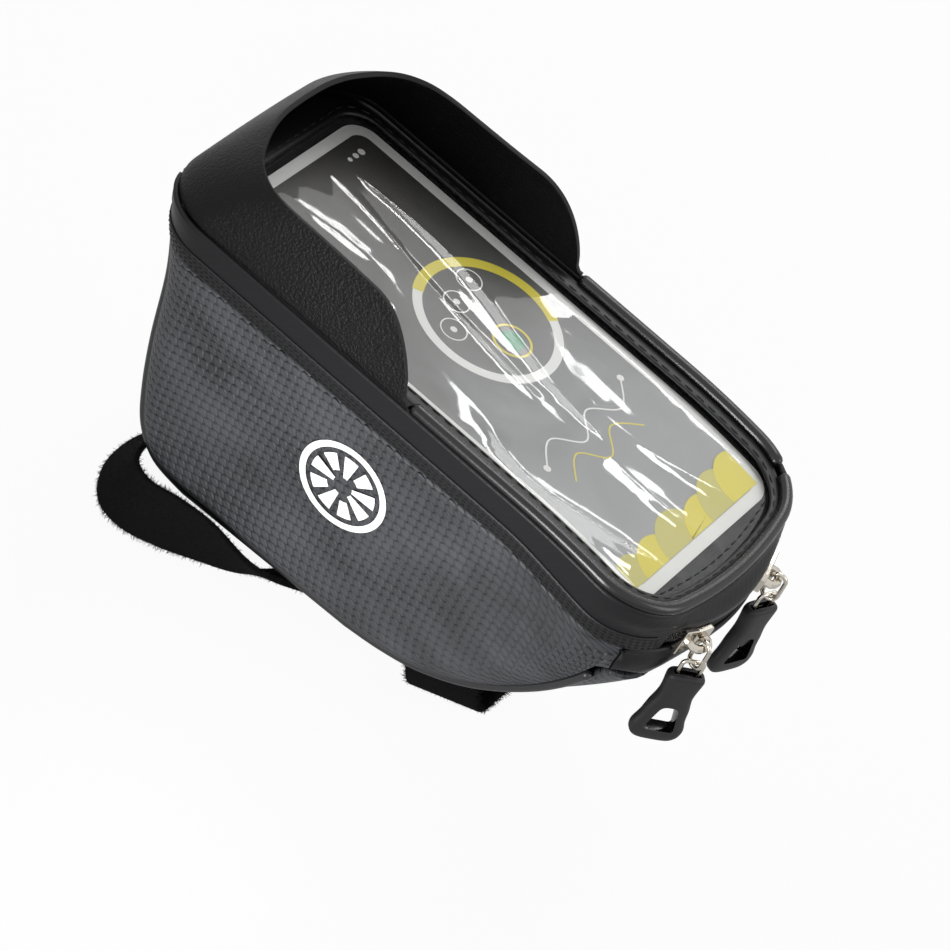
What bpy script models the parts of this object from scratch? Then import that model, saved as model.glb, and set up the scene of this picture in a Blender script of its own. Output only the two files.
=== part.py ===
"""A handlebar phone bag: a sewn shell with a clear lid over a phone pocket, a hooded sun visor,
a zip across the rear end with two hanging pulls, and two hook-and-loop straps under the base.

Metres, +Z up, +Y forward to the handlebar, +X to the rider's right. The base's flat seat is
level and the origin is in its middle. Most of the bag is measured from its lid: across, back
from the lid's front edge and down from the lid's plane, which rises toward the handlebar.
"""
import bisect
import math

import bmesh
import bpy
from mathutils import Matrix, Vector

MM = 0.001
GAP = 0.3 * MM                     # between pieces that touch

# Lid
LID_LENGTH = 190 * MM
LID_HALF_WIDTH = 47.5 * MM
LID_RISE = math.radians(3.5)       # the lid climbs toward the handlebar
LID_HEIGHT = 90.7 * MM             # middle of the lid above the seat
LID_FRONT_RADIUS = 20 * MM
LID_REAR_RADIUS = 23 * MM
LID_REAR_BOW = 150 * MM            # radius of the rear edge between its corners
DROOP_START = 135 * MM             # behind this the lid bends down
DROOP = 5.8 * MM
PIPING_RADIUS = 2.0 * MM
FRAME_THICKNESS = 1.2 * MM
WINDOW_HALF_WIDTH = 38.9 * MM
WINDOW_FRONT = 13 * MM
WINDOW_REAR = 184 * MM
FILM_THICKNESS = 0.4 * MM
CARD_HALF_WIDTH = 38.6 * MM        # the size of a large phone
CARD_FRONT = 15.4 * MM
CARD_LENGTH = 162 * MM
CARD_RADIUS = 8 * MM
CARD_THICKNESS = 0.5 * MM
PANEL_THICKNESS = 1.5 * MM

# Body
SIDE_HALF_WIDTH = 48.2 * MM        # at the lid's plane
SIDE_LEAN = 0.145                  # the sides close in toward the base
FABRIC = 2.0 * MM                  # foam-backed fabric
SEAM_RADIUS = 1.7 * MM             # piping in the side seams
SEAM_REACH = SEAM_RADIUS + GAP     # from a seam's middle to the fabric beside it
SEAT_FRONT = 48 * MM
SEAT_REAR = 110 * MM
BAND_THICKNESS = 1.5 * MM
BAND_TOP_FRONT = 0.9 * MM
BAND_DEPTH = 15 * MM               # lid's plane to the lower edge of the stitched strip
BAND_DEPTH_REAR = 20.5 * MM
NOTCH_BACK = 180.5 * MM            # where the side panels end at the rear
PIPING_END = 176.6 * MM            # where the seams' piping ends
SIDE_HEM = 30.0 * MM               # lower edge of the band under the zip at the side panels
REAR_HEM = 35.5 * MM               # lower edge of the band under the zip

# Zip, an arc in a plane parallel to the lid
ZIP_DEPTH = 17.5 * MM
ZIP_BACK = 194.4 * MM
ZIP_RADIUS = 70 * MM
ZIP_SLOT = 3.7 * MM                # half the opening between the two bands
CHAIN_HALF = 2.1 * MM
CHAIN_INSET = 1.8 * MM
CHAIN_THICKNESS = 2.0 * MM
CHAIN_ANGLE = math.radians(27)
SLOT_ANGLE = math.radians(24.6)
SLIDER_ANGLE = math.radians(16.8)
TAPE_THICKNESS = 0.5 * MM
TAPE_HEIGHT = 6 * MM

# Pulls
SLIDER_LENGTH = 12 * MM
SLIDER_NOSE = 7.4 * MM
SLIDER_WIDE = 9.6 * MM
PLATE = 1.2 * MM
BRIDGE_RADIUS = 1.3 * MM
BRIDGE_RISE = 3.4 * MM
LINK_RADIUS = 2.35 * MM
LINK_WIRE = 0.65 * MM
LINK_DROP = 5.0 * MM
CLIP_WIDTH = 6.4 * MM
CLIP_HEIGHT = 7.5 * MM
CLIP_WIRE = 0.65 * MM
CLIP_SEAT = LINK_RADIUS - LINK_WIRE - CLIP_WIRE - GAP      # the clip's bar hangs in the link's end
GRIP_TOP = 11 * MM
GRIP_FLARE = 16 * MM
GRIP_LENGTH = 27 * MM
GRIP_THICKNESS = 5.4 * MM
GRIP_SOCKET = 3.6 * MM
GRIP_SIDES = 16
GRIP_TURN = {"left": math.radians(32), "right": math.radians(38)}

# Visor
VISOR_BACK = 95 * MM
VISOR_HEIGHT = 22 * MM
VISOR_THICKNESS = 1.5 * MM
VISOR_SWEEP_START = 64 * MM        # from here to its tips the wall sweeps down
VISOR_TIP_HEIGHT = 0.8 * MM
VISOR_COLUMNS = 24                 # in each half
# Half of the rim seen from above, from its middle in front to a tip, as across and back
VISOR_RIM = [(0, 10.6), (10, 11.0), (18.6, 12.6), (25.8, 15.3), (31.3, 18.0), (35.8, 21.4), (39.1, 25.5),
             (41.4, 30.5), (42.6, 37.6), (42.9, 46), (43.4, 60), (44.4, 75), (45.8, 88), (46.6, 95)]

# Straps
STRAP_WIDTH = 20 * MM
STRAP_THICKNESS = 1.8 * MM
# Middle of the long strap: across, forward, height, and how many quarter turns it has made
HEAD_STRAP = [(4, -38, -3.4, 0.0), (-3, -31, -3.7, 0.0), (-11, -22, -5.2, 0.06), (-21, -11, -7.6, 0.2),
              (-31, 2, -8.6, 0.36), (-37.6, 17, -5.2, 0.84), (-42, 28, -4.0, 1.0), (-44.5, 38, -4.0, 1.05),
              (-41, 47, -4.4, 1.15), (-31, 52, -4.8, 1.27), (-20, 52.5, -5.6, 1.4), (-11, 48, -6.8, 1.68),
              (-5, 38, -4.6, 1.9), (0, 25, -2.4, 2.0), (1, 8, -1.6, 2.0), (1, -10, -1.6, 2.0),
              (1, -26, -1.5, 2.0)]
BASE_LOOP_SLOPE = math.radians(21)
BASE_LOOP_HALF = 15.8 * MM
BASE_LOOP_RADIUS = 7.0 * MM
BASE_LOOP_Y = -62 * MM
BASE_LOOP_Z = -3.8 * MM
BASE_STRAP_WIDTH = 24 * MM

SEAT_MIDDLE = 0.5 * (SEAT_FRONT + SEAT_REAR)


def lid_frame():
    """Matrix from lid coordinates (across, forward of the lid's middle, up) to the world."""
    tilt = Matrix.Rotation(LID_RISE, 4, "X")
    raised = Matrix.Translation((0, 0, LID_HEIGHT)) @ tilt
    depth = seat_depth(SEAT_MIDDLE)
    seat = raised @ Vector((0, LID_LENGTH / 2 - SEAT_MIDDLE, -depth))
    return Matrix.Translation((0, -seat.y, -seat.z)) @ raised


def seat_depth(back):
    """Depth of the flat seat below the lid's plane."""
    forward = LID_LENGTH / 2 - back
    return (LID_HEIGHT + forward * math.sin(LID_RISE)) / math.cos(LID_RISE)


def from_lid(x, back, down):
    """World point at a place measured from the lid."""
    return LID @ Vector((x, LID_LENGTH / 2 - back, -down))


def droop(back):
    """How far the lid has bent down at this distance from its front edge."""
    past = max(0.0, back - DROOP_START) / (LID_LENGTH - DROOP_START)
    return DROOP * past ** 2


def ease(value, low, high):
    """0 below low, 1 above high and smooth between."""
    t = min(1.0, max(0.0, (value - low) / (high - low)))
    return t * t * (3 - 2 * t)


def mix(a, b, t):
    return a + (b - a) * t


def spline(points, steps):
    """Catmull-Rom curve through the points, each a tuple of any length."""
    padded = [points[0]] + list(points) + [points[-1]]
    curve = []
    for a, b, c, d in zip(padded, padded[1:], padded[2:], padded[3:]):
        for step in range(steps):
            t = step / steps
            curve.append(tuple(
                0.5 * (2 * q + (r - p) * t + (2 * p - 5 * q + 4 * r - s) * t * t
                       + (3 * q - p - 3 * r + s) * t ** 3)
                for p, q, r, s in zip(a, b, c, d)))
    return curve + [tuple(points[-1])]


def point_along(points, t):
    """Point at a fraction of a polyline's length."""
    steps = [math.dist(a, b) for a, b in zip(points, points[1:])]
    marks = [0.0]
    for step in steps:
        marks.append(marks[-1] + step)
    reach = t * marks[-1]
    i = min(len(steps) - 1, bisect.bisect_right(marks, reach) - 1)
    local = (reach - marks[i]) / steps[i]
    return tuple(mix(a, b, local) for a, b in zip(points[i], points[i + 1]))


# Belly: the middle line of the front wall, base and rear underside, seen from the side, as
# distance back, depth, radius of the rounding to the side panel and angle of the seam on it.
FRONT_WALL = [(0.4, 1.2, 17, 9), (2.8, 10, 17, 9), (6.6, 19, 16.5, 9), (11.8, 34, 15, 10), (16.8, 56, 12, 12),
              (22, 73, 9.5, 16), (27.5, 84.5, 7.5, 20), (36, 91.4, 6, 25)]
REAR_UNDERSIDE = [(122, 88.2, 6.5, 26), (134, 85.2, 8, 28), (147, 79.4, 11, 31), (158, 71.6, 14, 36),
                  (168, 62.4, 17, 42), (176, 53.6, 19.5, 48), (183, 44.8, 21.5, 54), (188, 37.4, 22, 59)]
SEAT_ROUNDING = 5.8
SEAT_SEAM = 25


def belly_line(steps=3):
    """The belly's line, with the seat between its two curved ends exactly flat."""
    ends = [(SEAT_FRONT / MM, seat_depth(SEAT_FRONT) / MM, SEAT_ROUNDING, SEAT_SEAM),
            (SEAT_REAR / MM, seat_depth(SEAT_REAR) / MM, SEAT_ROUNDING, SEAT_SEAM)]
    front = spline(FRONT_WALL + [ends[0]], steps)
    rear = spline([ends[1]] + REAR_UNDERSIDE, steps)
    seat = [tuple(mix(a, b, t / 4) for a, b in zip(*ends)) for t in (1, 2, 3)]
    return [(back * MM, down * MM, radius * MM, math.radians(seam))
            for back, down, radius, seam in front + seat + rear]


def side_half_width(down):
    return SIDE_HALF_WIDTH - SIDE_LEAN * down


def inward(line, index):
    """Unit normal of the belly's line that points into the bag, as (back, down)."""
    a = line[max(0, index - 1)]
    b = line[min(len(line) - 1, index + 1)]
    back, down = b[0] - a[0], b[1] - a[1]
    length = math.hypot(back, down)
    return down / length, -back / length


def skin(line, index, angle):
    """A point of the rounding beside the belly's line: angle 0 at the flat, 90 degrees on the side."""
    back, down, radius, _ = line[index]
    nb, nd = inward(line, index)
    depth = radius * (1 - math.cos(angle))
    x = side_half_width(down) - radius + radius * math.sin(angle)
    return x, back + nb * depth, down + nd * depth


def rear_shape(down):
    """Rear end of the bag at this depth: its back, its middle radius and its corner radius."""
    if down < ZIP_DEPTH - 4.5 * MM:
        t = ease(down, 0, ZIP_DEPTH - 4.5 * MM)
        return mix(LID_LENGTH, ZIP_BACK, t), mix(LID_REAR_BOW, ZIP_RADIUS, t), LID_REAR_RADIUS
    t = ease(down, ZIP_DEPTH + 4.5 * MM, REAR_HEM + 3 * MM)
    return mix(ZIP_BACK, 188.6 * MM, t), mix(ZIP_RADIUS, 260 * MM, t), LID_REAR_RADIUS


def rear_rounding(width, down):
    """Where the middle arc meets the corner arc, and the corner's centre."""
    back, bow, radius = rear_shape(down)
    join = math.asin((width - radius) / (bow - radius))
    centre_back = back - bow + (bow - radius) * math.cos(join)
    return back, bow, radius, join, centre_back


def side_x(back, down, line):
    """Distance of the side panel from the bag's middle plane at this back and depth."""
    width = side_half_width(down)
    best, radius = 1.0, SEAT_ROUNDING * MM
    for (b0, d0, r0, _), (b1, d1, r1, _) in zip(line, line[1:]):
        along_b, along_d = b1 - b0, d1 - d0
        t = ((back - b0) * along_b + (down - d0) * along_d) / (along_b ** 2 + along_d ** 2)
        t = min(1.0, max(0.0, t))
        distance = math.hypot(back - b0 - t * along_b, down - d0 - t * along_d)
        if distance < best:
            best, radius = distance, mix(r0, r1, t)
    inset = 0.0
    if best < radius:
        inset = radius - math.sqrt(max(0.0, radius ** 2 - (radius - best) ** 2))
    _, _, corner, _, centre_back = rear_rounding(width, down)
    if back > centre_back:
        past = min(back - centre_back, corner)
        inset = max(inset, corner - math.sqrt(corner ** 2 - past ** 2))
    return width - inset


def new_collection(name):
    group = bpy.data.collections.new(name)
    bpy.context.scene.collection.children.link(group)
    return group


def material(name, color, roughness, metallic=0.0, alpha=1.0):
    """Principled material; color is linear RGB."""
    made = bpy.data.materials.new(name)
    made.use_nodes = True
    shader = made.node_tree.nodes["Principled BSDF"]
    shader.inputs["Base Color"].default_value = (*color, 1.0)
    shader.inputs["Roughness"].default_value = roughness
    shader.inputs["Metallic"].default_value = metallic
    shader.inputs["Alpha"].default_value = alpha
    return made


def place(name, mesh, look, group=None):
    made = bpy.data.objects.new(name, mesh)
    (group or PARTS).objects.link(made)
    if look:
        mesh.materials.append(look)
    return made


def grid(name, rows, look, thickness, closed=False, across=False):
    """A sheet through rows of world points, thickened inward from its outer face by Solidify.

    closed joins each row's last point to its first; across turns the outer face over.
    """
    mesh = bpy.data.meshes.new(name)
    work = bmesh.new()
    lines = [[work.verts.new(point) for point in row] for row in rows]
    count = len(lines[0])
    for upper, lower in zip(lines, lines[1:]):
        for i in range(count if closed else count - 1):
            j = (i + 1) % count
            face = (upper[i], upper[j], lower[j], lower[i])
            work.faces.new(face[::-1] if across else face)
    work.to_mesh(mesh)
    work.free()
    made = place(name, mesh, look)
    mesh.shade_smooth()
    solid = made.modifiers.new("Thickness", "SOLIDIFY")
    solid.thickness = thickness
    solid.offset = -1
    solid.use_even_offset = False
    return made


def wire(name, points, radius, look, closed=False, resolution=2):
    """A round wire or piping through world points."""
    data = bpy.data.curves.new(name, "CURVE")
    data.dimensions = "3D"
    data.bevel_depth = radius
    data.bevel_resolution = resolution
    data.use_fill_caps = not closed
    line = data.splines.new("POLY")
    line.points.add(len(points) - 1)
    for target, point in zip(line.points, points):
        target.co = (*point, 1.0)
    line.use_cyclic_u = closed
    data.materials.append(look)
    made = bpy.data.objects.new(name, data)
    PARTS.objects.link(made)
    return made


def ribbon(name, centres, widths, width, thickness, look, closed=False):
    """A strap through world centres, each with the direction of its width there."""
    rows = [[c + w * (width * side) for side in (-0.5, -0.17, 0.17, 0.5)] for c, w in zip(centres, widths)]
    if closed:
        rows.append(rows[0])
    made = grid(name, rows, look, thickness)
    if closed:
        work = bmesh.new()
        work.from_mesh(made.data)
        bmesh.ops.remove_doubles(work, verts=work.verts, dist=0.01 * MM)
        work.to_mesh(made.data)
        work.free()
    made.modifiers["Thickness"].offset = 0
    return made


def difference(target, cutter, name):
    cut = target.modifiers.new(name, "BOOLEAN")
    cut.operation = "DIFFERENCE"
    cut.solver = "EXACT"
    cut.object = cutter
    return cut


def as_cutter(made):
    for group in list(made.users_collection):
        group.objects.unlink(made)
    CUTTERS.objects.link(made)
    made.hide_render = True
    made.display_type = "WIRE"
    return made


# Body panels

def gusset_panel(line, look):
    """Front wall, base and rear underside in one strip between the two side seams."""
    rows = []
    for index, (_, down, radius, seam) in enumerate(line):
        edge = seam - SEAM_REACH / radius
        flat = side_half_width(down) - radius
        half = [skin(line, index, edge * t) for t in (1.0, 0.5)]
        middle = [(flat, line[index][0], down)]
        right = half + middle
        row = [(-x, back, depth) for x, back, depth in right] + [(0, line[index][0], down)] + right[::-1]
        rows.append([from_lid(*point) for point in row])
    return grid("gusset_panel", rows, look, FABRIC)


def side_panel(name, side, line, look):
    """One embossed side, its rounded edges turned in to meet the gusset at the seam."""
    def edge(index, reach=SEAM_REACH):
        _, _, radius, seam = line[index]
        return skin(line, index, seam + reach / radius)[1:]

    first = next(i for i, point in enumerate(line) if point[1] > BAND_DEPTH + 3 * MM)
    corner = next(i for i, point in enumerate(line) if point[0] > 34 * MM)
    front = [edge(i) for i in range(first, corner + 1)]
    under = [edge(i) for i in range(corner, len(line))]
    top_front = (front[0][0], BAND_DEPTH + GAP)
    front[0] = top_front
    rear_top = (NOTCH_BACK, BAND_DEPTH_REAR + GAP)
    under[-1] = (NOTCH_BACK, SIDE_HEM)

    def top(s):
        back = mix(top_front[0], rear_top[0], s)
        return back, band_lower(back) + GAP

    columns, levels = 24, 12
    rows = []
    for i in range(levels + 1):
        t = math.sin(0.5 * math.pi * i / levels)
        left, right = point_along(front, t), tuple(mix(a, b, t) for a, b in zip(rear_top, under[-1]))
        row = []
        for j in range(columns + 1):
            s = mix(j / columns, 0.5 * (1 - math.cos(math.pi * j / columns)), 0.7)
            upper, lower = top(s), point_along(under, s)
            point = [
                (1 - t) * upper[k] + t * lower[k] + (1 - s) * left[k] + s * right[k]
                - (1 - s) * (1 - t) * top_front[k] - s * (1 - t) * rear_top[k]
                - (1 - s) * t * under[0][k] - s * t * under[-1][k]
                for k in (0, 1)]
            row.append(from_lid(side * side_x(*point, line), *point))
        rows.append(row)
    return grid(name, rows, look, FABRIC, across=side < 0)


def band_lower(back):
    """Depth of the stitched strip's lower edge along the sides."""
    return mix(BAND_DEPTH, BAND_DEPTH_REAR, ease(back, 135 * MM, 178 * MM))


def seam_piping(name, side, line, look):
    """Piping in a side seam, from under the band at the front, round the base to the notch."""
    points = []
    for index, (_, down, _, seam) in enumerate(line):
        x, back, depth = skin(line, index, seam)
        if down > BAND_DEPTH + 1 * MM and back < PIPING_END:
            points.append(from_lid(side * x, back, depth))
    return wire(name, points, SEAM_RADIUS, look)


def plan_points(down, line):
    """Half of the bag's outline at a depth, from the front corner round to the rear's middle.

    Each point is (x, back, angle on the zip's arc or None).
    """
    width = side_half_width(down)
    index = next(i for i, point in enumerate(line) if point[1] >= min(down, 20 * MM))
    front_back, _, radius, seam = line[index]
    back, bow, corner, join, centre_back = rear_rounding(width, down)
    points = []
    start = seam + GAP / radius
    for i in range(8):
        angle = mix(start, math.pi / 2, i / 7)
        points.append((width - radius + radius * math.sin(angle),
                       front_back + radius * (1 - math.cos(angle)), None))
    side_start = front_back + radius
    for i in range(1, 12):
        points.append((width, mix(side_start, centre_back, i / 12), None))
    for i in range(9):
        angle = mix(math.pi / 2, join, i / 8)
        points.append((width - corner + corner * math.sin(angle),
                       centre_back + corner * math.cos(angle), None))
    for i in range(1, 13):
        angle = join * (1 - i / 12)
        points.append((bow * math.sin(angle), back - bow * (1 - math.cos(angle)), angle))
    return points


def wrap(half):
    """Mirror half a row, given from a front corner to the rear's middle, to a whole one."""
    return [(-x, back, down) for x, back, down in half] + [(x, back, down) for x, back, down in half[-2::-1]]


def band_rows(line, top, bottom, levels):
    """Rows of the rear and side wall between two depths, each a function of (back, zip angle)."""
    rows = []
    sample = plan_points(ZIP_DEPTH, line)
    for level in range(levels + 1):
        half = []
        for i, (_, back, angle) in enumerate(sample):
            down = mix(top(back, angle), bottom(back, angle), level / levels)
            x, place_back, _ = plan_points(down, line)[i]
            half.append((x, place_back, down))
        rows.append([from_lid(*point) for point in wrap(half)])
    return rows


def in_slot(angle):
    """1 where the zip's slot is open, 0 past its ends."""
    if angle is None:
        return 0.0
    return 1.0 - ease(angle, SLOT_ANGLE, SLOT_ANGLE + math.radians(2.2))


def lid_side_band(line, look):
    """The smooth band below the lid's edge, with the stitched strip along its lower edge."""
    def top(back, _):
        rear = droop(min(back, LID_LENGTH)) + PIPING_RADIUS + GAP
        return mix(BAND_TOP_FRONT, rear, ease(back, VISOR_BACK - 9 * MM, VISOR_BACK - 1 * MM))

    def bottom(back, angle):
        return mix(band_lower(back), ZIP_DEPTH - ZIP_SLOT, in_slot(angle))

    return grid("lid_side_band", band_rows(line, top, bottom, 4), look, BAND_THICKNESS, across=True)


def lower_zip_band(line, look):
    """The smooth band below the zip, from one side panel round the rear to the other."""
    top_depth = ZIP_DEPTH + ZIP_SLOT
    rows = []
    first = next(i for i, point in enumerate(plan_points(top_depth, line)) if point[1] > NOTCH_BACK)
    for level in range(6):
        half = []
        for i, (x0, back, _) in enumerate(plan_points(top_depth, line)[first - 1:]):
            low = mix(SIDE_HEM, REAR_HEM, ease(back, NOTCH_BACK, 188 * MM))
            down = mix(top_depth, low, level / 5)
            x, place_back, _ = plan_points(down, line)[first - 1 + i]
            if i == 0:
                place_back = NOTCH_BACK + 2 * GAP
                x = side_x(place_back, down, line)
            half.append((x, place_back, down))
        rows.append([from_lid(*point) for point in wrap(half)])
    return grid("lower_zip_band", rows, look, BAND_THICKNESS, across=True)


# Lid

def lid_loop(half_width, front, rear, front_radius, rear_radius, bow):
    """Closed outline of the lid or something inside it, as (x, back), clockwise from the left side."""
    join = math.asin((half_width - rear_radius) / (bow - rear_radius))
    centre_back = rear - bow + (bow - rear_radius) * math.cos(join)
    half = [(half_width, mix(front + front_radius, centre_back, 1 - i / 14)) for i in range(15)]
    half += [(half_width - front_radius + front_radius * math.cos(a),
              front + front_radius - front_radius * math.sin(a))
             for a in (0.5 * math.pi * i / 6 for i in range(1, 7))]
    half += [((half_width - front_radius) * (1 - i / 4), front) for i in range(1, 4)]
    rear_half = [(half_width - rear_radius + rear_radius * math.sin(a), centre_back + rear_radius * math.cos(a))
                 for a in (mix(math.pi / 2, join, i / 7) for i in range(1, 8))]
    rear_half += [(bow * math.sin(join * (1 - i / 4)), rear - bow * (1 - math.cos(join * (1 - i / 4))))
                  for i in range(1, 4)]
    right = rear_half[::-1] + half
    return ([(0, rear)] + right + [(0, front)] + [(-x, back) for x, back in right[::-1]])


def inset_loop(inset):
    return lid_loop(LID_HALF_WIDTH - inset, inset, LID_LENGTH - inset,
                    LID_FRONT_RADIUS - inset, LID_REAR_RADIUS - inset, LID_REAR_BOW - inset)


def on_lid(loop, down):
    return [from_lid(x, back, down + droop(back)) for x, back in loop]


def lid_frame_ring(look):
    """The lid's bound fabric frame round the window."""
    inner = lid_loop(WINDOW_HALF_WIDTH, WINDOW_FRONT, WINDOW_REAR, 9 * MM, 17 * MM, LID_REAR_BOW)
    wide = inset_loop(FABRIC + 4 * GAP)
    narrow = inset_loop(2 * PIPING_RADIUS + GAP)
    outer = []
    for (x0, b0), (x1, b1) in zip(wide, narrow):
        t = ease(b0, VISOR_BACK - 16 * MM, VISOR_BACK - 8 * MM)
        outer.append((mix(x0, x1, t), mix(b0, b1, t)))
    rows = []
    for level in range(3):
        row = [(mix(a[0], b[0], level / 2), mix(a[1], b[1], level / 2)) for a, b in zip(outer, inner)]
        rows.append(on_lid(row, BAND_TOP_FRONT))
    return grid("lid_frame", rows, look, FRAME_THICKNESS, closed=True)


def lid_piping(name, side, look):
    """Tube round one side of the lid from the visor's end; the two meet at the right rear corner."""
    loop = inset_loop(PIPING_RADIUS)
    join_x, join_back = 43.6 * MM, 174 * MM
    start_back = VISOR_BACK + 2 * MM
    right = [p for p in loop if p[0] > 0 and start_back < p[1]]
    corner = [p for p in right if p[1] < join_back]
    if side > 0:
        points = sorted(corner, key=lambda p: p[1])
        points = [(points[0][0], start_back)] + points
    else:
        left = sorted([p for p in loop if p[0] < 0 and start_back < p[1] and p[0] < -20 * MM],
                      key=lambda p: p[1])
        end = [p for p in loop if p[1] > join_back + 3 * MM and p[0] > -20 * MM]
        points = [(left[0][0], start_back)] + left + sorted(end, key=lambda p: p[0])
    return wire(name, on_lid(points, 0), PIPING_RADIUS, look, resolution=3)


def deck(name, half_width, front, rear, radius, down, thickness, look, rise=0.0):
    """A thin rounded rectangle that follows the lid, with a slight rise along its middle."""
    def half_at(back):
        edge = min(back - front, rear - back)
        if edge >= radius:
            return half_width
        return half_width - radius + math.sqrt(max(0.0, radius ** 2 - (radius - edge) ** 2))

    corner = [radius * (1 - math.cos(0.5 * math.pi * i / 4)) for i in range(5)]
    backs = [front + c for c in corner]
    backs += [mix(front + radius, rear - radius, i / 9) for i in range(1, 9)]
    backs += [rear - c for c in corner[::-1]]
    rows = []
    for back in backs:
        half = half_at(back)
        row = []
        for i in range(5):
            x = half * (i / 2 - 1)
            crown = rise * (1 - (x / half_width) ** 2) * math.sin(math.pi * (back - front) / (rear - front))
            row.append(from_lid(x, back, down + droop(back) - crown))
        rows.append(row)
    return grid(name, rows, look, thickness, across=True)


def sun_visor(look):
    """Hooded wall round the front half of the lid, tall in front and swept down to two tips."""
    inset = 0.2 * MM
    half, corner = LID_HALF_WIDTH - inset, LID_FRONT_RADIUS - inset
    turn = [0.5 * math.pi * i / 8 for i in range(9)]
    base = [(0.0, inset)]
    base += [(half - corner + corner * math.sin(a), inset + corner * (1 - math.cos(a))) for a in turn]
    base.append((half, VISOR_BACK))
    rim = spline([(x * MM, back * MM) for x, back in VISOR_RIM], 2)
    levels = 6
    columns = []
    for i in range(VISOR_COLUMNS + 1):
        (x0, back0), (x1, back1) = point_along(base, i / VISOR_COLUMNS), point_along(rim, i / VISOR_COLUMNS)
        past = min(1.0, max(0.0, (back0 - VISOR_SWEEP_START) / (VISOR_BACK - 2 * MM - VISOR_SWEEP_START)))
        height = max(VISOR_TIP_HEIGHT, VISOR_HEIGHT * (1 - past ** 2) ** 0.7)
        column = []
        for level in range(levels + 1):
            rise = height * level / levels
            lean = (rise / VISOR_HEIGHT) ** 1.4
            column.append((mix(x0, x1, lean), mix(back0, back1, lean), BAND_TOP_FRONT - 3 * GAP - rise))
        columns.append(column)
    rows = []
    for level in range(levels, -1, -1):
        right = [column[level] for column in columns]
        left = [(-x, back, down) for x, back, down in right[:0:-1]]
        rows.append([from_lid(*point) for point in left + right])
    return grid("sun_visor", rows, look, VISOR_THICKNESS)


# Zip

def zip_point(angle, inset, down):
    """Point on the zip's arc, inset from the bands' outer face."""
    radius = ZIP_RADIUS - inset
    return from_lid(radius * math.sin(angle), ZIP_BACK - ZIP_RADIUS + radius * math.cos(angle), down)


def zip_strip(name, inset, thickness, top, bottom, reach, look):
    """A strip that follows the zip's arc; top and bottom are depths, or functions of the angle."""
    count = 24
    rows = [[], [], []]
    for i in range(count + 1):
        angle = mix(-reach, reach, i / count)
        upper, lower = top(abs(angle)), bottom(abs(angle))
        for row, t in zip(rows, (0, 0.5, 1)):
            row.append(zip_point(angle, inset, mix(upper, lower, t)))
    return grid(name, rows, look, thickness, across=True)


def zip_tapes(look):
    """The two tapes behind the bands; past the slot they close on the chain's ends."""
    def edge(angle):
        return mix(CHAIN_HALF + GAP, ZIP_SLOT, in_slot(angle))

    inset = BAND_THICKNESS + 2 * GAP
    zip_strip("zip_tape_upper", inset, TAPE_THICKNESS, lambda a: ZIP_DEPTH - ZIP_SLOT - TAPE_HEIGHT / 2,
              lambda a: ZIP_DEPTH - edge(a), CHAIN_ANGLE, look)
    zip_strip("zip_tape_lower", inset, TAPE_THICKNESS, lambda a: ZIP_DEPTH + edge(a),
              lambda a: ZIP_DEPTH + ZIP_SLOT + TAPE_HEIGHT / 2, CHAIN_ANGLE, look)


def zip_chain(look):
    """The joined chain across the rear end."""
    zip_strip("zip_chain", CHAIN_INSET, CHAIN_THICKNESS, lambda a: ZIP_DEPTH - CHAIN_HALF,
              lambda a: ZIP_DEPTH + CHAIN_HALF, CHAIN_ANGLE, look)


def slider_frame(side):
    """Matrix of a slider's place: X along the chain to its wide end, Y out of the bag, Z up the lid."""
    angle = side * SLIDER_ANGLE
    origin = zip_point(angle, 0, ZIP_DEPTH)
    out = (origin - from_lid(0, ZIP_BACK - ZIP_RADIUS, ZIP_DEPTH)).normalized()
    up = LID.to_3x3() @ Vector((0, 0, 1))
    along = up.cross(out).normalized() if side > 0 else out.cross(up).normalized()
    if along.x * side < 0:
        along = -along
    frame = Matrix((along, out, up)).transposed().to_4x4()
    frame.translation = origin
    return frame


def prism(name, outline, thickness, frame, look, bevel=0.0):
    """A flat outline in the frame's X-Z plane, its thickness shared about the plane."""
    mesh = bpy.data.meshes.new(name)
    work = bmesh.new()
    face = work.faces.new([work.verts.new((x, -thickness / 2, z)) for x, z in outline])
    raised = bmesh.ops.extrude_face_region(work, geom=[face])
    moved = [item for item in raised["geom"] if isinstance(item, bmesh.types.BMVert)]
    bmesh.ops.translate(work, verts=moved, vec=(0, thickness, 0))
    bmesh.ops.recalc_face_normals(work, faces=work.faces)
    work.to_mesh(mesh)
    work.free()
    made = place(name, mesh, look)
    made.matrix_world = frame
    if bevel:
        rounded = made.modifiers.new("Edges", "BEVEL")
        rounded.width = bevel
        rounded.segments = 1
    return made


def loft(name, sections, frame, look):
    """A solid through closed sections of points in the frame, capped at both ends."""
    mesh = bpy.data.meshes.new(name)
    work = bmesh.new()
    rings = [[work.verts.new(point) for point in section] for section in sections]
    for upper, lower in zip(rings, rings[1:]):
        for i in range(len(upper)):
            j = (i + 1) % len(upper)
            work.faces.new((upper[i], upper[j], lower[j], lower[i]))
    work.faces.new(rings[0])
    work.faces.new(rings[-1][::-1])
    bmesh.ops.recalc_face_normals(work, faces=work.faces)
    work.to_mesh(mesh)
    work.free()
    mesh.shade_smooth()
    made = place(name, mesh, look)
    made.matrix_world = frame
    return made


def block(name, size, centre, frame):
    """A box cutter, size and centre in the frame's own axes."""
    bpy.ops.mesh.primitive_cube_add(size=1)
    made = bpy.context.object
    made.name = name
    made.data.transform(Matrix.Diagonal((*size, 1)))
    made.matrix_world = frame @ Matrix.Translation(centre)
    return as_cutter(made)


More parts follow.
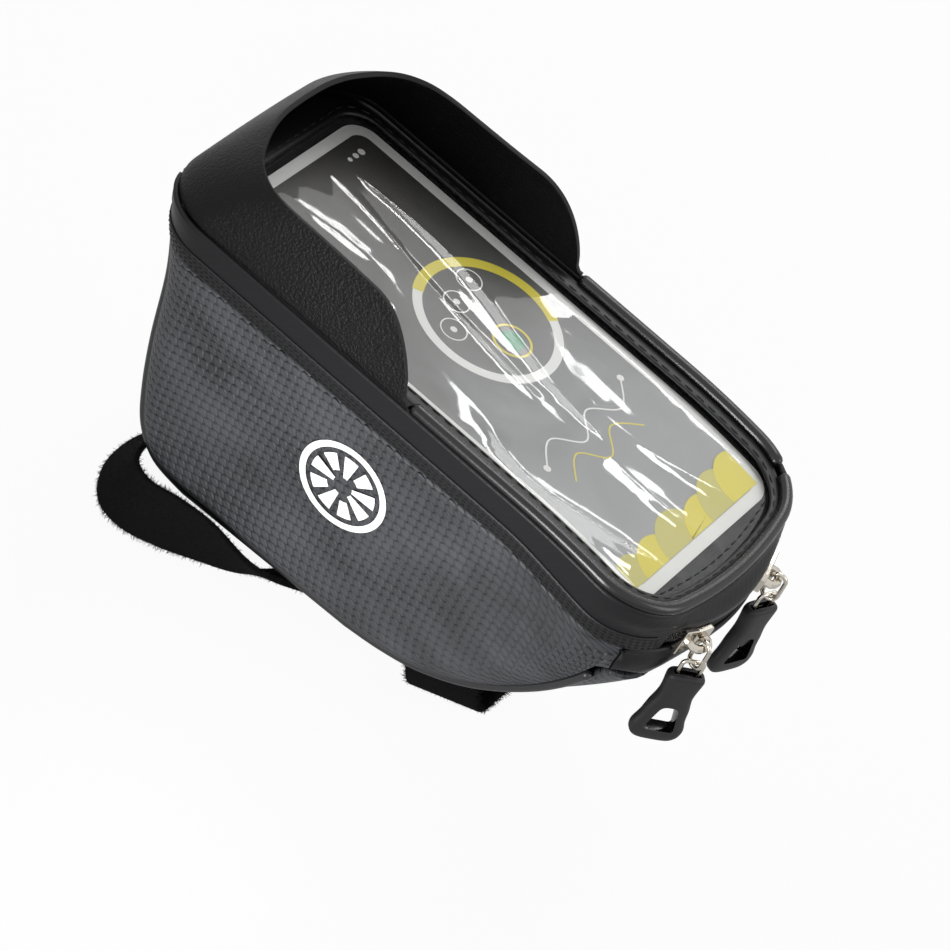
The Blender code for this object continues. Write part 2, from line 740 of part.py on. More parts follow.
def slider(name, side, look):
    """Die-cast slider: two plates round the chain, open slots for the tapes and a bridge on top."""
    frame = slider_frame(side)
    inner = CHAIN_INSET + CHAIN_THICKNESS + GAP + PLATE
    outer = GAP + PLATE
    depth = inner + outer
    nose, wide, length = SLIDER_NOSE / 2, SLIDER_WIDE / 2, SLIDER_LENGTH / 2
    outline = [(-length, -nose + 1.2 * MM), (-length + 1.2 * MM, -nose), (0.1 * length, -nose), (length, -wide),
               (length, wide), (0.1 * length, nose), (-length + 1.2 * MM, nose), (-length, nose - 1.2 * MM)]
    body = prism(name, outline, depth, frame @ Matrix.Translation((0, outer - depth / 2, 0)), look, 0.3 * MM)
    flange = CHAIN_HALF + GAP + 0.9 * MM
    long = 3 * SLIDER_LENGTH
    channel_depth = CHAIN_THICKNESS + 3 * GAP
    channel = block(name + "_channel", (long, channel_depth, 2 * (CHAIN_HALF + GAP)),
                    (0, -CHAIN_INSET - CHAIN_THICKNESS / 2 - 0.3 * GAP, 0), frame)
    difference(body, channel, "Chain channel")
    slot_out, slot_in = GAP, BAND_THICKNESS + TAPE_THICKNESS + 4 * GAP
    for sign in (-1, 1):
        slot = block(f"{name}_slot_{'lower' if sign < 0 else 'upper'}", (long, slot_out + slot_in, 4 * MM),
                     (0, (slot_out - slot_in) / 2, sign * (flange + 2 * MM)), frame)
        difference(body, slot, "Tape slot")
    half_span = 3.1 * MM
    rise = BRIDGE_RISE
    arch = [(-half_span, 0), (-half_span, rise * 0.55), (-half_span * 0.72, rise * 0.88), (-half_span * 0.4, rise),
            (half_span * 0.4, rise), (half_span * 0.72, rise * 0.88), (half_span, rise * 0.55), (half_span, 0)]
    bar = wire(name + "_bridge", [frame @ Vector((x, outer + y - 0.6 * MM * (y == 0), 0)) for x, y in arch],
               BRIDGE_RADIUS, look, resolution=2)
    bpy.context.view_layer.update()
    mesh = bpy.data.meshes.new_from_object(bar.evaluated_get(bpy.context.evaluated_depsgraph_get()))
    bpy.data.objects.remove(bar)
    work = bmesh.new()
    work.from_mesh(mesh)
    bmesh.ops.remove_doubles(work, verts=work.verts, dist=0.005 * MM)
    bmesh.ops.recalc_face_normals(work, faces=work.faces)
    work.to_mesh(mesh)
    work.free()
    bridge = as_cutter(place(name + "_bridge", mesh, None))
    joined = body.modifiers.new("Bridge", "BOOLEAN")
    joined.operation = "UNION"
    joined.solver = "EXACT"
    joined.object = bridge
    return frame @ Vector((0, outer + BRIDGE_RISE, 0)), frame


def stadium(radius, straight, count=7):
    """Closed path round two points that lie straight apart along -Z, in the Y-Z plane."""
    path = []
    for i in range(count):
        angle = math.pi * i / (count - 1)
        path.append((0, radius * math.cos(angle), radius * math.sin(angle)))
    for i in range(count):
        angle = math.pi + math.pi * i / (count - 1)
        path.append((0, radius * math.cos(angle), -straight + radius * math.sin(angle)))
    return path


def grip_sections():
    """Rounded sections of a pull's grip as it hangs: (height, half width, half thickness)."""
    top, flare, thick = GRIP_TOP / 2, GRIP_FLARE / 2, GRIP_THICKNESS / 2
    shape = [(0, 1.0, 0.0, 1.0), (0.06, 1.0, 0.02, 1.0), (0.3, 0.93, 0.0, 0.94), (0.5, 0.82, 0.22, 0.88),
             (0.66, 0.5, 0.52, 0.84), (0.8, 0.0, 1.0, 0.82), (0.9, 0.0, 0.96, 0.82), (0.96, 0.0, 0.82, 0.72),
             (1.0, 0.0, 0.5, 0.42)]
    sections = []
    for fall, of_top, of_flare, of_thick in shape:
        width, depth = of_top * top + of_flare * flare, of_thick * thick
        section = []
        for i in range(GRIP_SIDES):
            angle = 2 * math.pi * i / GRIP_SIDES
            c, s = math.cos(angle), math.sin(angle)
            section.append((math.copysign(abs(c) ** 0.6, c) * width, math.copysign(abs(s) ** 0.6, s) * depth,
                            -fall * GRIP_LENGTH))
        sections.append(section)
    return sections


def finger_hole():
    """Tapered hole in a grip, narrow at the top."""
    corners = [(2.0, -0.50), (2.9, -0.53), (4.9, -0.75), (4.4, -0.80)]
    right = [(x * MM, z * GRIP_LENGTH) for x, z in corners]
    return right + [(-x, z) for x, z in right[::-1]]


def pull(side_name, side, pivot, frame, metal, rubber):
    """Link, clip and grip that hang from a slider's bridge."""
    along = frame.to_3x3() @ Vector((side, 0, 0))
    up = Vector((0, 0, 1))
    along = (along - up * along.dot(up)).normalized()
    out = Vector((along.y, -along.x, 0))
    hang = Matrix((along, out, up)).transposed().to_4x4()
    hang.translation = pivot
    link = [hang @ Vector(point) for point in stadium(LINK_RADIUS, LINK_DROP)]
    wire(f"puller_link_{side_name}", link, LINK_WIRE, metal, closed=True)

    lower = hang @ Vector((0, 0, -LINK_DROP - CLIP_SEAT))
    turned = Matrix.Translation(lower) @ hang.to_3x3().to_4x4() @ Matrix.Rotation(GRIP_TURN[side_name], 4, "Z")
    half, corner = CLIP_WIDTH / 2, 1.3 * MM
    clip = []
    for cx, cz, start in ((half - corner, -corner, 0), (-half + corner, -corner, 90),
                          (-half + corner, -CLIP_HEIGHT + corner, 180), (half - corner, -CLIP_HEIGHT + corner, 270)):
        for i in range(4):
            angle = math.radians(start + 30 * i)
            clip.append(turned @ Vector((cx + corner * math.cos(angle), 0, cz + corner * math.sin(angle))))
    wire(f"grip_clip_{side_name}", clip, CLIP_WIRE, metal, closed=True)

    grip_top = turned @ Matrix.Translation((0, 0, -CLIP_HEIGHT + GRIP_SOCKET - GAP - CLIP_WIRE))
    grip = loft(f"pull_grip_{side_name}", grip_sections(), grip_top, rubber)
    hole = as_cutter(prism(f"pull_grip_{side_name}_hole", finger_hole(), 3 * GRIP_THICKNESS, grip_top, None))
    difference(grip, hole, "Finger hole")
    socket = block(f"pull_grip_{side_name}_socket",
                   (CLIP_WIDTH + 2 * (CLIP_WIRE + GAP), 2 * (CLIP_WIRE + GAP), 2 * GRIP_SOCKET), (0, 0, 0), grip_top)
    difference(grip, socket, "Clip socket")
    return lower, turned


# Straps

def head_tube_strap(look):
    """The long strap: flat under the base, then on edge in a twisted loop in front of the bag."""
    up = Vector((0, 0, 1))
    path = spline(HEAD_STRAP, 4)
    centres = [Vector((x, y, z)) * MM for x, y, z, _ in path]
    widths = []
    for i, (_, _, _, turn) in enumerate(path):
        tangent = centres[min(i + 1, len(path) - 1)] - centres[max(i - 1, 0)]
        side = tangent.cross(up).normalized()
        angle = 0.5 * math.pi * turn
        widths.append(side * math.cos(angle) - up * math.sin(angle))
    return ribbon("head_tube_strap", centres, widths, STRAP_WIDTH, STRAP_THICKNESS, look)


def base_strap(look):
    """The rear strap, closed on itself in a flat loop under the rising base."""
    slope, half, radius = BASE_LOOP_SLOPE, BASE_LOOP_HALF, BASE_LOOP_RADIUS
    middle = Vector((0, BASE_LOOP_Y, BASE_LOOP_Z))
    across = Vector((0, math.cos(slope), -math.sin(slope)))
    up = Vector((0, math.sin(slope), math.cos(slope)))
    path = [(-half * (1 - i / 3), radius) for i in range(6)]
    path += [(half + radius * math.cos(a), radius * math.sin(a)) for a in
             (math.radians(90 - 30 * i) for i in range(7))]
    path += [(half * (1 - i / 3), -radius) for i in range(1, 6)]
    path += [(-half + radius * math.cos(a), radius * math.sin(a)) for a in
             (math.radians(270 - 30 * i) for i in range(6))]
    centres = [middle + Vector((x, 0, 0)) + up * z for x, z in path]
    return ribbon("base_strap", centres, [across] * len(centres), BASE_STRAP_WIDTH, STRAP_THICKNESS, look,
                  closed=True)


def build():
    """Make every piece of the bag."""
    shell = material("embossed_fabric", (0.045, 0.045, 0.05), 0.55)
    smooth = material("smooth_fabric", (0.035, 0.035, 0.038), 0.5)
    trim = material("piping", (0.02, 0.02, 0.022), 0.35)
    leather = material("visor_sheet", (0.03, 0.03, 0.033), 0.55)
    film = material("clear_film", (0.8, 0.82, 0.84), 0.08, alpha=0.3)
    card = material("printed_card", (0.35, 0.35, 0.33), 0.5)
    lining = material("lining", (0.03, 0.03, 0.03), 0.8)
    chain = material("zip_chain", (0.01, 0.01, 0.01), 0.4)
    metal = material("nickel", (0.8, 0.78, 0.74), 0.2, metallic=1.0)
    rubber = material("rubber", (0.025, 0.025, 0.027), 0.6)
    strap = material("strap", (0.015, 0.015, 0.016), 0.9)

    line = belly_line()
    gusset_panel(line, shell)
    side_panel("side_panel_left", -1, line, shell)
    side_panel("side_panel_right", 1, line, shell)
    seam_piping("lower_piping_left", -1, line, trim)
    seam_piping("lower_piping_right", 1, line, trim)
    lid_side_band(line, smooth)
    lower_zip_band(line, smooth)

    lid_frame_ring(smooth)
    lid_piping("lid_piping_left", -1, trim)
    lid_piping("lid_piping_right", 1, trim)
    below = BAND_TOP_FRONT + FRAME_THICKNESS + GAP
    deck("window_film", WINDOW_HALF_WIDTH + 2.2 * MM, WINDOW_FRONT - 2 * MM, WINDOW_REAR + 1 * MM, 14 * MM,
         below, FILM_THICKNESS, film)
    below += FILM_THICKNESS + GAP
    deck("insert_card", CARD_HALF_WIDTH, CARD_FRONT, CARD_FRONT + CARD_LENGTH, CARD_RADIUS,
         below, CARD_THICKNESS, card)
    below += CARD_THICKNESS + GAP
    deck("phone_pocket_panel", 42.5 * MM, 6 * MM, 184.5 * MM, 16 * MM, below, PANEL_THICKNESS, lining)
    sun_visor(leather)

    zip_tapes(lining)
    zip_chain(chain)
    for side_name, side in (("left", -1), ("right", 1)):
        pivot, frame = slider(f"slider_{side_name}", side, metal)
        pull(side_name, side, pivot, frame, metal, rubber)

    head_tube_strap(strap)
    base_strap(strap)


for old in list(bpy.data.objects):
    bpy.data.objects.remove(old)
PARTS = new_collection("handlebar_phone_bag")
CUTTERS = new_collection("cutters")
LID = lid_frame()
build()
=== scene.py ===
"""Looks of a handlebar phone bag: fabrics, film, printed card, coil zip, pulls and straps.

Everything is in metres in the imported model's frame: +X to the rider's right, +Y forward to the
handlebar, +Z up. Most sizes are measured from the lid, as across, back from its front edge and
down from its plane.
"""
from __future__ import annotations

import logging
import math
from dataclasses import dataclass, field
from enum import Enum
from typing import Any, Callable, Sequence

import bmesh
import bpy
from mathutils import Matrix, Vector, noise

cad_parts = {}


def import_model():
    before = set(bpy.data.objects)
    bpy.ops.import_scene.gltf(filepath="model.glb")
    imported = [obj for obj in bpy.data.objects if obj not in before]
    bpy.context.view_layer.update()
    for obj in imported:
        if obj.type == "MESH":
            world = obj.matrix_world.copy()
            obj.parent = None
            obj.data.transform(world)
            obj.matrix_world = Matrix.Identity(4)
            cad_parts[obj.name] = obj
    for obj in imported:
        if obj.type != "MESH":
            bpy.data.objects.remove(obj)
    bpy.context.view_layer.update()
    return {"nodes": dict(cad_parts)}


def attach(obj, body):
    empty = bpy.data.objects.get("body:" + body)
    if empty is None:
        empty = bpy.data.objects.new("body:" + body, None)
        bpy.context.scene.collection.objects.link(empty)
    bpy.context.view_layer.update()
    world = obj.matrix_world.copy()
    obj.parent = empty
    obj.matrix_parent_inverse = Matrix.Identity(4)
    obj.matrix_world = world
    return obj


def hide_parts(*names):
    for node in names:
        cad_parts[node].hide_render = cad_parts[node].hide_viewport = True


LOG = logging.getLogger("phone_bag")
MM = 0.001
GAP = 0.3 * MM         # left between pieces that meet
UV_UNIT = 0.1          # metres of cloth in one unit of a piece's UV map
WHITE = (1.0, 1.0, 1.0, 1.0)

Rows = list[list[Vector]]
Place = tuple[float, float, float]
Line = Sequence[tuple[float, ...]]
Outline = Sequence[tuple[float, float]]
Piece = bpy.types.Object
Mesh = bpy.types.Mesh
Node = bpy.types.Node
Tree = bpy.types.NodeTree


# Small helpers

def linear(code: str, alpha: float = 1.0) -> tuple[float, float, float, float]:
    """Linear RGBA of an sRGB hex colour.

    Args:
        code: colour such as "#1f2023".
        alpha: fourth channel.

    Returns:
        The four channels.
    """
    channels = [int(code[i:i + 2], 16) / 255 for i in (1, 3, 5)]
    red, green, blue = (c / 12.92 if c <= 0.04045 else ((c + 0.055) / 1.055) ** 2.4
                        for c in channels)
    return red, green, blue, alpha


def mix(a: float, b: float, t: float) -> float:
    """Value between a and b."""
    return a + (b - a) * t


def ease(value: float, low: float, high: float) -> float:
    """0 below low, 1 above high and smooth between."""
    t = min(1.0, max(0.0, (value - low) / (high - low)))
    return t * t * (3 - 2 * t)


def spline(points: Sequence[Sequence[float]], steps: int) -> list[tuple[float, ...]]:
    """Catmull-Rom curve through points of any length.

    Args:
        points: the points it passes through.
        steps: stretches between two of them.

    Returns:
        The curve's points.
    """
    padded = [points[0], *points, points[-1]]
    curve = []
    for a, b, c, d in zip(padded, padded[1:], padded[2:], padded[3:]):
        for step in range(steps):
            t = step / steps
            curve.append(tuple(
                0.5 * (2 * q + (r - p) * t + (2 * p - 5 * q + 4 * r - s) * t * t
                       + (3 * q - p - 3 * r + s) * t ** 3)
                for p, q, r, s in zip(a, b, c, d)))
    return curve + [tuple(points[-1])]


def along(points: Sequence[Sequence[float]], t: float) -> tuple[float, ...]:
    """Point at a fraction of a polyline's length."""
    steps = [math.dist(a, b) for a, b in zip(points, points[1:])]
    reach = t * sum(steps)
    for a, b, step in zip(points, points[1:], steps):
        if reach <= step:
            return tuple(mix(p, q, reach / step) for p, q in zip(a, b))
        reach -= step
    return tuple(points[-1])


def square_to(points: Line, index: int) -> tuple[float, float]:
    """Unit normal of a flat line at one of its points."""
    a, b = points[max(0, index - 1)], points[min(len(points) - 1, index + 1)]
    run = math.hypot(b[0] - a[0], b[1] - a[1])
    return (b[1] - a[1]) / run, -(b[0] - a[0]) / run


def first_where(points: Line, axis: int, least: float) -> int:
    """Number of the first point that reaches a value on an axis."""
    return next(i for i, point in enumerate(points) if point[axis] > least)


def ring_faces(work: bmesh.types.BMesh, rings: Sequence[list], closed: bool = False) -> None:
    """Faces between rings of vertices, and from the last to the first if closed."""
    pairs = list(zip(rings, rings[1:])) + ([(rings[-1], rings[0])] if closed else [])
    for a, b in pairs:
        for i, j in zip(range(len(a)), [*range(1, len(a)), 0]):
            work.faces.new((a[i], a[j], b[j], b[i]))


def add(tree: Tree, kind: str, settings: dict[str, Any] | None = None,
        links: dict[str | int, Any] | None = None) -> Node:
    """Add a node with its settings and inputs.

    Args:
        tree: the tree it goes in.
        kind: the node's type name.
        settings: properties to set.
        links: input name or number, to a value, a node or an output socket.

    Returns:
        The new node.
    """
    made = tree.nodes.new(kind)
    for key, value in (settings or {}).items():
        setattr(made, key, value)
    for key, value in (links or {}).items():
        if isinstance(value, Node):
            value = value.outputs[0]
        if isinstance(value, bpy.types.NodeSocket):
            tree.links.new(value, made.inputs[key])
        else:
            made.inputs[key].default_value = value
    return made


def maths(tree: Tree, operation: str, *values: Any) -> Node:
    """Add a Math node on two or three values."""
    return add(tree, "ShaderNodeMath", {"operation": operation}, dict(enumerate(values)))


def vector_maths(tree: Tree, operation: str, *values: Any) -> Node:
    """Add a Vector Math node on one or two values."""
    return add(tree, "ShaderNodeVectorMath", {"operation": operation}, dict(enumerate(values)))


def textured(tree: Tree, where: Any, scale: float, detail: float,
             **more: float) -> Node:
    """Add a Noise Texture.

    Args:
        tree: the tree it goes in.
        where: the coordinates that it reads.
        scale: its scale.
        detail: its octaves.
        more: further inputs.

    Returns:
        The new node.
    """
    return add(tree, "ShaderNodeTexNoise", None,
               {"Vector": where, "Scale": scale, "Detail": detail, **more})


def bumped(tree: Tree, shader: Node, height: Any, strength: float,
           depth_mm: float) -> Node:
    """Raise a height on a surface.

    Args:
        tree: the surface's tree.
        shader: its shader.
        height: the height, 0 to 1.
        strength: share of the effect.
        depth_mm: what a height of 1 stands for.

    Returns:
        The Bump node.
    """
    bump = add(tree, "ShaderNodeBump", None,
               {"Height": height, "Strength": strength, "Distance": depth_mm * MM})
    tree.links.new(bump.outputs[0], shader.inputs["Normal"])
    return bump


def ramped(tree: Tree, shader: Node, value: Any,
           stops: Sequence[tuple[float, str]]) -> None:
    """Colour a surface by a value through stops of position and colour."""
    node = add(tree, "ShaderNodeValToRGB", None, {"Fac": value})
    ends = node.color_ramp.elements
    for end, (position, code) in ((ends[0], stops[0]), (ends[1], stops[-1])):
        end.position, end.color = position, linear(code)
    for position, code in stops[1:-1]:
        ends.new(position).color = linear(code)
    tree.links.new(node.outputs[0], shader.inputs["Base Color"])


def surface(tree: Tree, share: Any, below: Node,
            above: Node) -> None:
    """Mix two shaders by a share and make the mix the material's surface."""
    both = add(tree, "ShaderNodeMixShader", None,
               {0: share, 1: below.outputs[0], 2: above.outputs[0]})
    output = next(node for node in tree.nodes if node.type == "OUTPUT_MATERIAL")
    tree.links.new(both.outputs[0], output.inputs["Surface"])


# Finishes

@dataclass(frozen=True)
class Finish:
    """A surface finish; subclasses add what the eye sees on it."""

    name: str
    colour: str
    roughness: float = 0.5
    metallic: float = 0.0
    specular: float = 0.5

    def material(self) -> bpy.types.Material:
        """Build the material."""
        made = bpy.data.materials.new(self.name)
        made.use_nodes = True
        tree = made.node_tree
        shader = tree.nodes["Principled BSDF"]
        shader.inputs["Base Color"].default_value = linear(self.colour)
        shader.inputs["Roughness"].default_value = self.roughness
        shader.inputs["Metallic"].default_value = self.metallic
        shader.inputs["Specular IOR Level"].default_value = self.specular
        made.diffuse_color = linear(self.colour)
        self.detail(tree, shader)
        return made

    def uneven(self, tree: Tree, shader: Node, value: Node,
               less: float = 0.06, more: float = 0.08, **ends: float) -> None:
        """Let the gloss change with a value.

        Args:
            tree: the material's tree.
            shader: its shader.
            value: what the gloss follows, 0 to 1 unless ends say more.
            less: how far the roughness falls.
            more: how far it rises.
            ends: the value's range, by the Map Range node's words.
        """
        span = {key.replace("_", " ").title(): end for key, end in ends.items()}
        rough = add(tree, "ShaderNodeMapRange", None,
                    {"Value": value, **span, "To Min": self.roughness - less,
                     "To Max": self.roughness + more})
        tree.links.new(rough.outputs[0], shader.inputs["Roughness"])

    def detail(self, tree: Tree, shader: Node) -> None:
        """Add the pattern; the plain finish has a faint unevenness in its gloss."""
        place = add(tree, "ShaderNodeTexCoord").outputs["Object"]
        self.uneven(tree, shader, textured(tree, place, 700.0, 4.0))


@dataclass(frozen=True)
class ScaleEmbossed(Finish):
    """PU-coated fabric pressed with rows of small scales, soft and satin."""

    pitch_mm: float = 3.2          # measured on the side panel
    depth_mm: float = 0.36
    turn: float = math.radians(-45)

    def detail(self, tree: Tree, shader: Node) -> None:
        """Round scales on a turned hexagonal lattice, each pressed in at its upper edge, with
        painted shade darkening the colour along that edge.
        """
        uv = add(tree, "ShaderNodeUVMap", {"uv_map": "cloth"})
        turned = add(tree, "ShaderNodeVectorRotate", {"rotation_type": "Z_AXIS"},
                     {"Vector": uv, "Angle": self.turn})
        scale = UV_UNIT / MM / self.pitch_mm
        row = math.sqrt(3)
        even = vector_maths(tree, "MULTIPLY", turned, (scale, scale / row, 0.0))
        local, distance = [], []
        for offset in (0.0, 0.5):
            moved = vector_maths(tree, "ADD", even, (offset, offset, 0.0))
            cell = vector_maths(tree, "FRACTION", moved)
            centred = vector_maths(tree, "SUBTRACT", cell, (0.5, 0.5, 0.0))
            local.append(vector_maths(tree, "MULTIPLY", centred, (1.0, row, 0.0)))
            distance.append(vector_maths(tree, "LENGTH", local[-1]).outputs["Value"])
        nearest = maths(tree, "MINIMUM", *distance)
        second = maths(tree, "LESS_THAN", *reversed(distance))
        chosen = add(tree, "ShaderNodeMix", {"data_type": "VECTOR"},
                     {0: second, 4: local[0].outputs[0], 5: local[1].outputs[0]}).outputs[1]
        upward = (math.sin(self.turn), -math.cos(self.turn), 0.0)
        rise = vector_maths(tree, "DOT_PRODUCT", chosen, upward).outputs["Value"]
        raised = add(tree, "ShaderNodeMapRange", {"interpolation_type": "SMOOTHSTEP"},
                     {"Value": nearest, "From Min": 0.32, "From Max": 0.56,
                      "To Min": 1.0, "To Max": 0.0})
        tilted = maths(tree, "MULTIPLY_ADD", rise, -1.2, raised)
        weave = textured(tree, uv, 420.0, 2.0)
        bumped(tree, shader, maths(tree, "MULTIPLY_ADD", weave, 0.15, tilted), 1.0, self.depth_mm)
        # painted shade: a darker colour along each scale's upper edge, where it dips
        painted_lip_shade = add(tree, "ShaderNodeMapRange", {"interpolation_type": "SMOOTHSTEP"},
                  {"Value": rise, "From Min": 0.12, "From Max": 0.44,
                   "To Min": 0.0, "To Max": 0.46})
        worn = textured(tree, uv, 4.0, 3.0)
        # the ramp's dark end takes both the random tone of worn and the painted shade along the
        # scales' upper edges
        ramped(tree, shader, maths(tree, "SUBTRACT", worn, painted_lip_shade),
               ((0.0, "#0e0e0f"), (0.65, self.colour)))
        self.uneven(tree, shader, worn, from_min=0.3, from_max=0.7)


@dataclass(frozen=True)
class Twill(Finish):
    """Smooth coated cloth whose fine diagonal twill just shows."""

    rib_mm: float = 0.75           # real twill is finer; drawn as coarse as it needs to show

    def detail(self, tree: Tree, shader: Node) -> None:
        """Diagonal ribs crossed by threads, with a slow change of gloss."""
        uv = add(tree, "ShaderNodeUVMap", {"uv_map": "cloth"})
        ribs = add(tree, "ShaderNodeTexWave",
                   {"wave_type": "BANDS", "bands_direction": "DIAGONAL"},
                   {"Vector": uv, "Scale": UV_UNIT / MM / self.rib_mm / 20 * 6.28 / 2,
                    "Distortion": 0.0})
        fine = textured(tree, uv, 300.0, 3.0)
        height = maths(tree, "MULTIPLY_ADD", fine, 0.8, ribs.outputs["Fac"])
        bumped(tree, shader, height, 0.13, 0.12)
        self.uneven(tree, shader, textured(tree, uv, 9.0, 2.0))


@dataclass(frozen=True)
class Leatherette(Finish):
    """Pressed PU sheet with a fine pebbled grain."""

    grain_mm: float = 0.9

    def detail(self, tree: Tree, shader: Node) -> None:
        """Pebbles of two sizes with satin tops."""
        place = add(tree, "ShaderNodeTexCoord").outputs["Object"]
        pebbles = add(tree, "ShaderNodeTexVoronoi", {"feature": "F1"},
                      {"Vector": place, "Scale": 1.0 / (self.grain_mm * MM)})
        fine = textured(tree, place, 2600.0, 3.0)
        height = maths(tree, "MULTIPLY_ADD", pebbles.outputs["Distance"], -1.0, fine)
        bumped(tree, shader, height, 0.8, 0.22)
        self.uneven(tree, shader, textured(tree, place, 45.0, 2.0), less=0.05)


@dataclass(frozen=True)
class NappedWebbing(Finish):
    """Hook-and-loop tape: a knitted pile that swallows light."""

    def detail(self, tree: Tree, shader: Node) -> None:
        """Clumped pile, its colour darker where the fine pile dips, as painted shade."""
        place = add(tree, "ShaderNodeTexCoord").outputs["Object"]
        pile = textured(tree, place, 1400.0, 5.0, Roughness=0.7)
        clumps = add(tree, "ShaderNodeTexVoronoi", None, {"Vector": place, "Scale": 650.0})
        height = maths(tree, "MULTIPLY_ADD", clumps.outputs["Distance"], -0.8, pile)
        bumped(tree, shader, height, 0.9, 0.5)
        # painted shade: the colour follows the pile noise that also sets the height, so the dips
        # come out darker
        ramped(tree, shader, pile, ((0.35, "#0c0c0d"), (0.75, self.colour)))


@dataclass(frozen=True)
class ClearFilm(Finish):
    """Soft clear TPU film: sees through, with streaks of gloss and a faint grey haze."""

    haze: float = 0.012
    skin: float = 0.028            # share of gloss seen straight on

    def detail(self, tree: Tree, shader: Node) -> None:
        """Mostly transparent, with a glossy skin that is stronger at a slant."""
        place = add(tree, "ShaderNodeTexCoord").outputs["Object"]
        waves = textured(tree, place, 38.0, 1.0, Distortion=1.6)
        bump = bumped(tree, shader, waves, 0.3, 0.8).outputs[0]
        shader.inputs["Alpha"].default_value = self.haze
        gloss = add(tree, "ShaderNodeBsdfGlossy", None,
                    {"Color": WHITE, "Roughness": self.roughness, "Normal": bump})
        slant = add(tree, "ShaderNodeLayerWeight", None, {"Blend": 0.5, "Normal": bump})
        steep = maths(tree, "POWER", slant.outputs["Facing"], 4.0)
        surface(tree, maths(tree, "MULTIPLY_ADD", steep, 0.9, self.skin), shader, gloss)


@dataclass(frozen=True)
class PrintedScreen(Finish):
    """Card printed like a phone's screen, pale grey behind and darker to the front, where the dark
    is partly print and partly painted shade of the visor.
    """

    def detail(self, tree: Tree, shader: Node) -> None:
        """Soft pale sweeps over a fade from front to back, read from the card's UV map; the fade's
        dark front is partly painted shade of the visor.
        """
        uv = add(tree, "ShaderNodeUVMap", {"uv_map": "cloth"})
        parts = add(tree, "ShaderNodeSeparateXYZ", None, {0: uv})
        sweep = textured(tree, uv, 2.3, 3.0, Distortion=1.1)
        # partly painted shade: the fade darkens the front of the card where the visor shades it
        back = maths(tree, "MULTIPLY", parts.outputs["Y"], 0.55)
        ramped(tree, shader, maths(tree, "MULTIPLY_ADD", sweep, 0.4, back),
               ((0.28, "#2b2923"), (0.42, "#3a3935"), (0.60, "#5c5d5b"), (0.80, "#868888"),
                (1.0, self.colour)))


class Look(Enum):
    """The finishes on the bag."""

    SCALES = ScaleEmbossed("scale_embossed_fabric", "#434448", 0.42, specular=0.28)
    TWILL = Twill("coated_twill", "#131315", 0.40, specular=0.22)
    STRIP = Twill("stitched_binding", "#121214", 0.48, specular=0.3)
    BINDING = Twill("lid_binding", "#0f0f10", 0.36, specular=0.3)
    PIPING = Finish("vinyl_piping", "#0d0d0e", 0.25)
    SEAM = Finish("seam_piping", "#232325", 0.32)
    VISOR = Leatherette("visor_leatherette", "#0a0a0b", 0.38, specular=0.16)
    # painted shade: a darker, duller copy of the visor leatherette for the hood's inner face
    VISOR_INNER_SHADE = Leatherette("visor_inner_painted_shade", "#070708", 0.6, specular=0.08)
    CUT_EDGE = Finish("visor_cut_edge", "#161617", 0.5, specular=0.2)
    FILM = ClearFilm("clear_tpu_film", "#c9cccd", 0.04)
    SCREEN = PrintedScreen("printed_screen", "#989a9a", 0.4)
    WHITE_INK = Finish("white_print", "#eeeeeb", 0.45)
    YELLOW_INK = Finish("yellow_print", "#e0d23c", 0.45)
    GREEN_INK = Finish("green_print", "#2f8a63", 0.45)
    PALE_INK = Finish("pale_yellow_print", "#c9c268", 0.45)
    LINING = Finish("dark_lining", "#121213", 0.85, specular=0.2)
    THREAD = Finish("thread", "#0b0b0c", 0.5, specular=0.3)
    STRIP_THREAD = Finish("strip_thread", "#0d0d0e", 0.55, specular=0.25)
    COIL = Finish("nylon_coil", "#0a0a0b", 0.3)
    NICKEL = Finish("nickel_plate", "#c9c3b8", 0.14, metallic=1.0)
    RUBBER = Finish("moulded_rubber", "#1d1d1f", 0.5, specular=0.35)
    POLISHED = Finish("polished_rubber", "#070708", 0.16)
    WEBBING = NappedWebbing("hook_and_loop", "#141415", 0.95, specular=0.05)
    NAP = Finish("loop_pile", "#121213", 0.9, specular=0.08)


MATERIALS: dict[Look, bpy.types.Material] = {}


def material(look: Look) -> bpy.types.Material:
    """The material of a finish, built once."""
    if look not in MATERIALS:
        MATERIALS[look] = look.value.material()
    return MATERIALS[look]


# Mesh making

def cloth_uv(rows: Rows) -> list[list[tuple[float, float]]]:
    """UV of a sheet of cloth: length along each row from its middle, and down its columns.

    Args:
        rows: the sheet's points.

    Returns:
        A UV pair for each point, in units of UV_UNIT.
    """
    middle = len(rows[0]) // 2
    pairs = []
    down = [0.0] * len(rows[0])
    for index, row in enumerate(rows):
        if index:
            down = [total + (point - above).length
                    for total, point, above in zip(down, row, rows[index - 1])]
        run = [0.0]
        for a, b in zip(row, row[1:]):
            run.append(run[-1] + (b - a).length)
        pairs.append([((r - run[middle]) / UV_UNIT, d / UV_UNIT) for r, d in zip(run, down)])
    return pairs


def linked(name: str, data: bpy.types.ID) -> Piece:
    """An object in the scene that holds some data."""
    made = bpy.data.objects.new(name, data)
    bpy.context.scene.collection.objects.link(made)
    return made


def settled(name: str, work: bmesh.types.BMesh) -> Mesh:
    """A mesh with what has been built, which frees the builder."""
    mesh = bpy.data.meshes.new(name)
    work.to_mesh(mesh)
    work.free()
    return mesh


def softened(made: Piece, width: float, segments: int = 2, degrees: float = 50) -> None:
    """Round an object's edges that are sharper than an angle."""
    soft = made.modifiers.new("Soft edges", "BEVEL")
    soft.width, soft.segments = width, segments
    soft.limit_method, soft.angle_limit = "ANGLE", math.radians(degrees)


